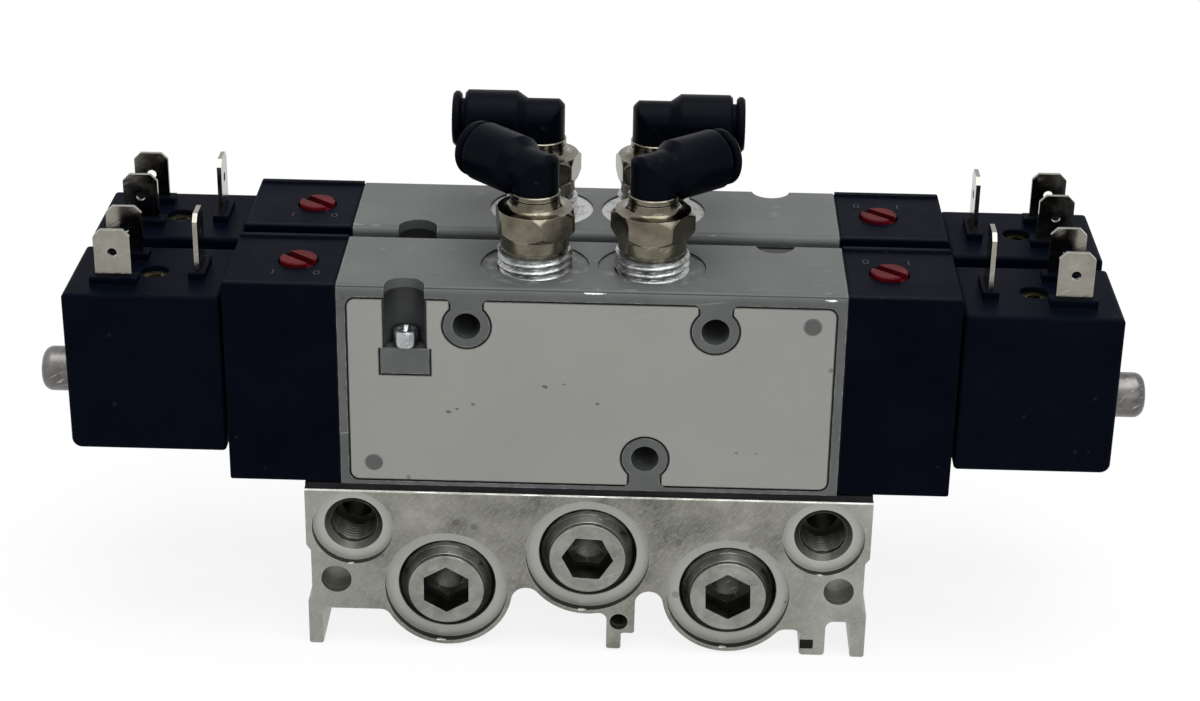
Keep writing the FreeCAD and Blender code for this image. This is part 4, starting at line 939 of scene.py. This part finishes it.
def numeral(name, text, x, y, turn):
    sizes = numeralSizes
    curve = bpy.data.curves.new(name, "FONT")
    curve.body = text
    curve.size = sizes["height"] * mm
    curve.extrude = sizes["thickness"] * mm / 2
    curve.align_x = "CENTER"
    curve.align_y = "CENTER"
    holder = bpy.data.objects.new(name + "Text", curve)
    bpy.context.scene.collection.objects.link(holder)
    bpy.context.view_layer.update()
    data = bpy.data.meshes.new_from_object(holder)
    bpy.data.objects.remove(holder)
    data.transform(Matrix.Rotation(math.radians(turn), 4, "Z"))
    data.transform(Matrix.Translation((x * mm, y * mm, sizes["top"] * mm)))
    data.name = name
    piece = bpy.data.objects.new(name, data)
    bpy.context.scene.collection.objects.link(piece)
    data.materials.clear()
    data.materials.append(materials["numeral_grey"])
    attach(piece, "valve_block")
    return piece


def dressNodes():
    slotOf = {entry["node"]: entry["material_slot"] for entry in frame["record"]["subparts"]}
    for name, node in nodes.items():
        slot = slotOf[name]
        if name.endswith("_pistons"):
            slot = "piston_black"
        node.data.materials.clear()
        node.data.materials.append(materials[slot])
    print("nodes dressed")


dressNodes()
for station in layout["stations"]:
    for side in layout["sides"]:
        fittingStud(station, side)
        mountingScrew(station, layout["sides"][side])
        armatureSpring(station, side)
print("studs, screws and springs made")

for port in layout["galleries"]:
    portPlug(port)
    x, z = layout["galleries"][port]
    threadLiner("rear_" + port + "_thread", "main", x, z, 1)
for side, sign in layout["sides"].items():
    x, z = layout["pilotPort"]
    threadLiner("front_" + side + "_pilot_thread", "pilot", sign * x, z, -1)
    threadLiner("rear_" + side + "_pilot_thread", "pilot", sign * x, z, 1)
print("plugs and port threads made")

for station, y in layout["stations"].items():
    for side, sign in layout["sides"].items():
        for text, aside in (("1", -numeralSizes["aside"]), ("0", numeralSizes["aside"])):
            numeral(station + "_" + side + "_numeral_" + text, text, sign * numeralSizes["x"] - sign * aside,
                    y + sign * numeralSizes["ahead"], 180.0 if sign > 0 else 0.0)
print("numerals made")


# Stage, lights and camera

stageSizes = {"half": 3.0, "floor": (0.93, 0.93, 0.93, 1), "world": 0.55, "glow": 0.86, "fade": (0.16, 0.45)}


# One for rays that show the background itself: from the camera, a mirror or glass
def seenRay(tree):
    path = tree.nodes.new("ShaderNodeLightPath")
    seen = mathNode(tree, "ADD", path.outputs["Is Camera Ray"], path.outputs["Is Glossy Ray"])
    return addNode(tree, "ShaderNodeMath", {0: seen, 1: path.outputs["Is Transmission Ray"]}, operation="ADD",
                   use_clamp=True).outputs[0]


def paleFloor():
    mesh = bmesh.new()
    half = stageSizes["half"]
    corners = [mesh.verts.new((x, y, 0)) for x, y in ((-half, -half), (half, -half), (half, half), (-half, half))]
    mesh.faces.new(corners)
    data = bpy.data.meshes.new("floor")
    mesh.to_mesh(data)
    mesh.free()
    floor = bpy.data.objects.new("floor", data)
    bpy.context.scene.collection.objects.link(floor)
    material = bpy.data.materials.new("paleFloor")
    material.use_nodes = True
    tree = material.node_tree
    shader = tree.nodes["Principled BSDF"]
    shader.inputs["Base Color"].default_value = stageSizes["floor"]
    shader.inputs["Roughness"].default_value = 0.9
    shader.inputs["Specular IOR Level"].default_value = 0.1
    glow = addNode(tree, "ShaderNodeEmission", {"Color": (1, 1, 1, 1), "Strength": 1.0})
    place = tree.nodes.new("ShaderNodeTexCoord").outputs["Object"]
    reach = addNode(tree, "ShaderNodeVectorMath", {0: place}, operation="LENGTH").outputs["Value"]
    near, far = stageSizes["fade"]  # the floor keeps the shadow near the object and is plain white further out
    share = mathNode(tree, "MULTIPLY", seenRay(tree), rangeNode(tree, reach, near, far, stageSizes["glow"], 1.0))
    blend = addNode(tree, "ShaderNodeMixShader", {0: share, 1: shader.outputs[0], 2: glow.outputs[0]})
    tree.links.new(blend.outputs[0], tree.nodes["Material Output"].inputs["Surface"])
    data.materials.append(material)


def paleWorld():
    world = bpy.data.worlds.new("studio")
    bpy.context.scene.world = world
    world.use_nodes = True
    tree = world.node_tree
    tree.nodes.clear()
    strength = rangeNode(tree, seenRay(tree), 0.0, 1.0, stageSizes["world"], 1.0)
    back = addNode(tree, "ShaderNodeBackground", {"Color": (1, 1, 1, 1), "Strength": strength})
    output = tree.nodes.new("ShaderNodeOutputWorld")
    tree.links.new(back.outputs[0], output.inputs["Surface"])


lampSizes = (
    {"name": "overhead", "place": (0.1, -0.12, 0.95), "size": 0.9, "energy": 8.5},
    {"name": "frontFill", "place": (0.35, -0.9, 0.5), "size": 0.7, "energy": 1.6},
)


def studioLamps():
    for lamp in lampSizes:
        data = bpy.data.lights.new(lamp["name"], "AREA")
        data.size = lamp["size"]
        data.energy = lamp["energy"]
        light = bpy.data.objects.new(lamp["name"], data)
        light.location = lamp["place"]
        aim = Vector((0, 0, 0.04)) - Vector(lamp["place"])
        light.rotation_euler = aim.to_track_quat("-Z", "Y").to_euler()
        bpy.context.scene.collection.objects.link(light)


cameraSizes = {"place": (9.622, -427.67, 249.28), "yaw": -1.1362, "pitch": 25.1226, "roll": 0.9369,
               "focal": 2571.04, "width": 1200, "sensor": 36.0}


def photoCamera():
    sizes = cameraSizes
    yaw, pitch, roll = (math.radians(sizes[key]) for key in ("yaw", "pitch", "roll"))
    forward = Vector((math.sin(yaw) * math.cos(pitch), math.cos(yaw) * math.cos(pitch), -math.sin(pitch)))
    level = Vector((math.cos(yaw), -math.sin(yaw), 0))
    upright = level.cross(forward)
    right = math.cos(roll) * level + math.sin(roll) * upright
    above = -math.sin(roll) * level + math.cos(roll) * upright
    data = bpy.data.cameras.new("photoCamera")
    data.sensor_width = sizes["sensor"]
    data.lens = sizes["focal"] / sizes["width"] * sizes["sensor"]
    data.clip_start = 0.01
    camera = bpy.data.objects.new("photoCamera", data)
    matrix = Matrix((right, above, -forward)).transposed().to_4x4()
    matrix.translation = Vector(sizes["place"]) * mm
    camera.matrix_world = matrix
    bpy.context.scene.collection.objects.link(camera)
    bpy.context.scene.camera = camera


paleFloor()
paleWorld()
studioLamps()
photoCamera()
bpy.context.scene.view_settings.view_transform = "Standard"
print("stage, lamps and camera set")
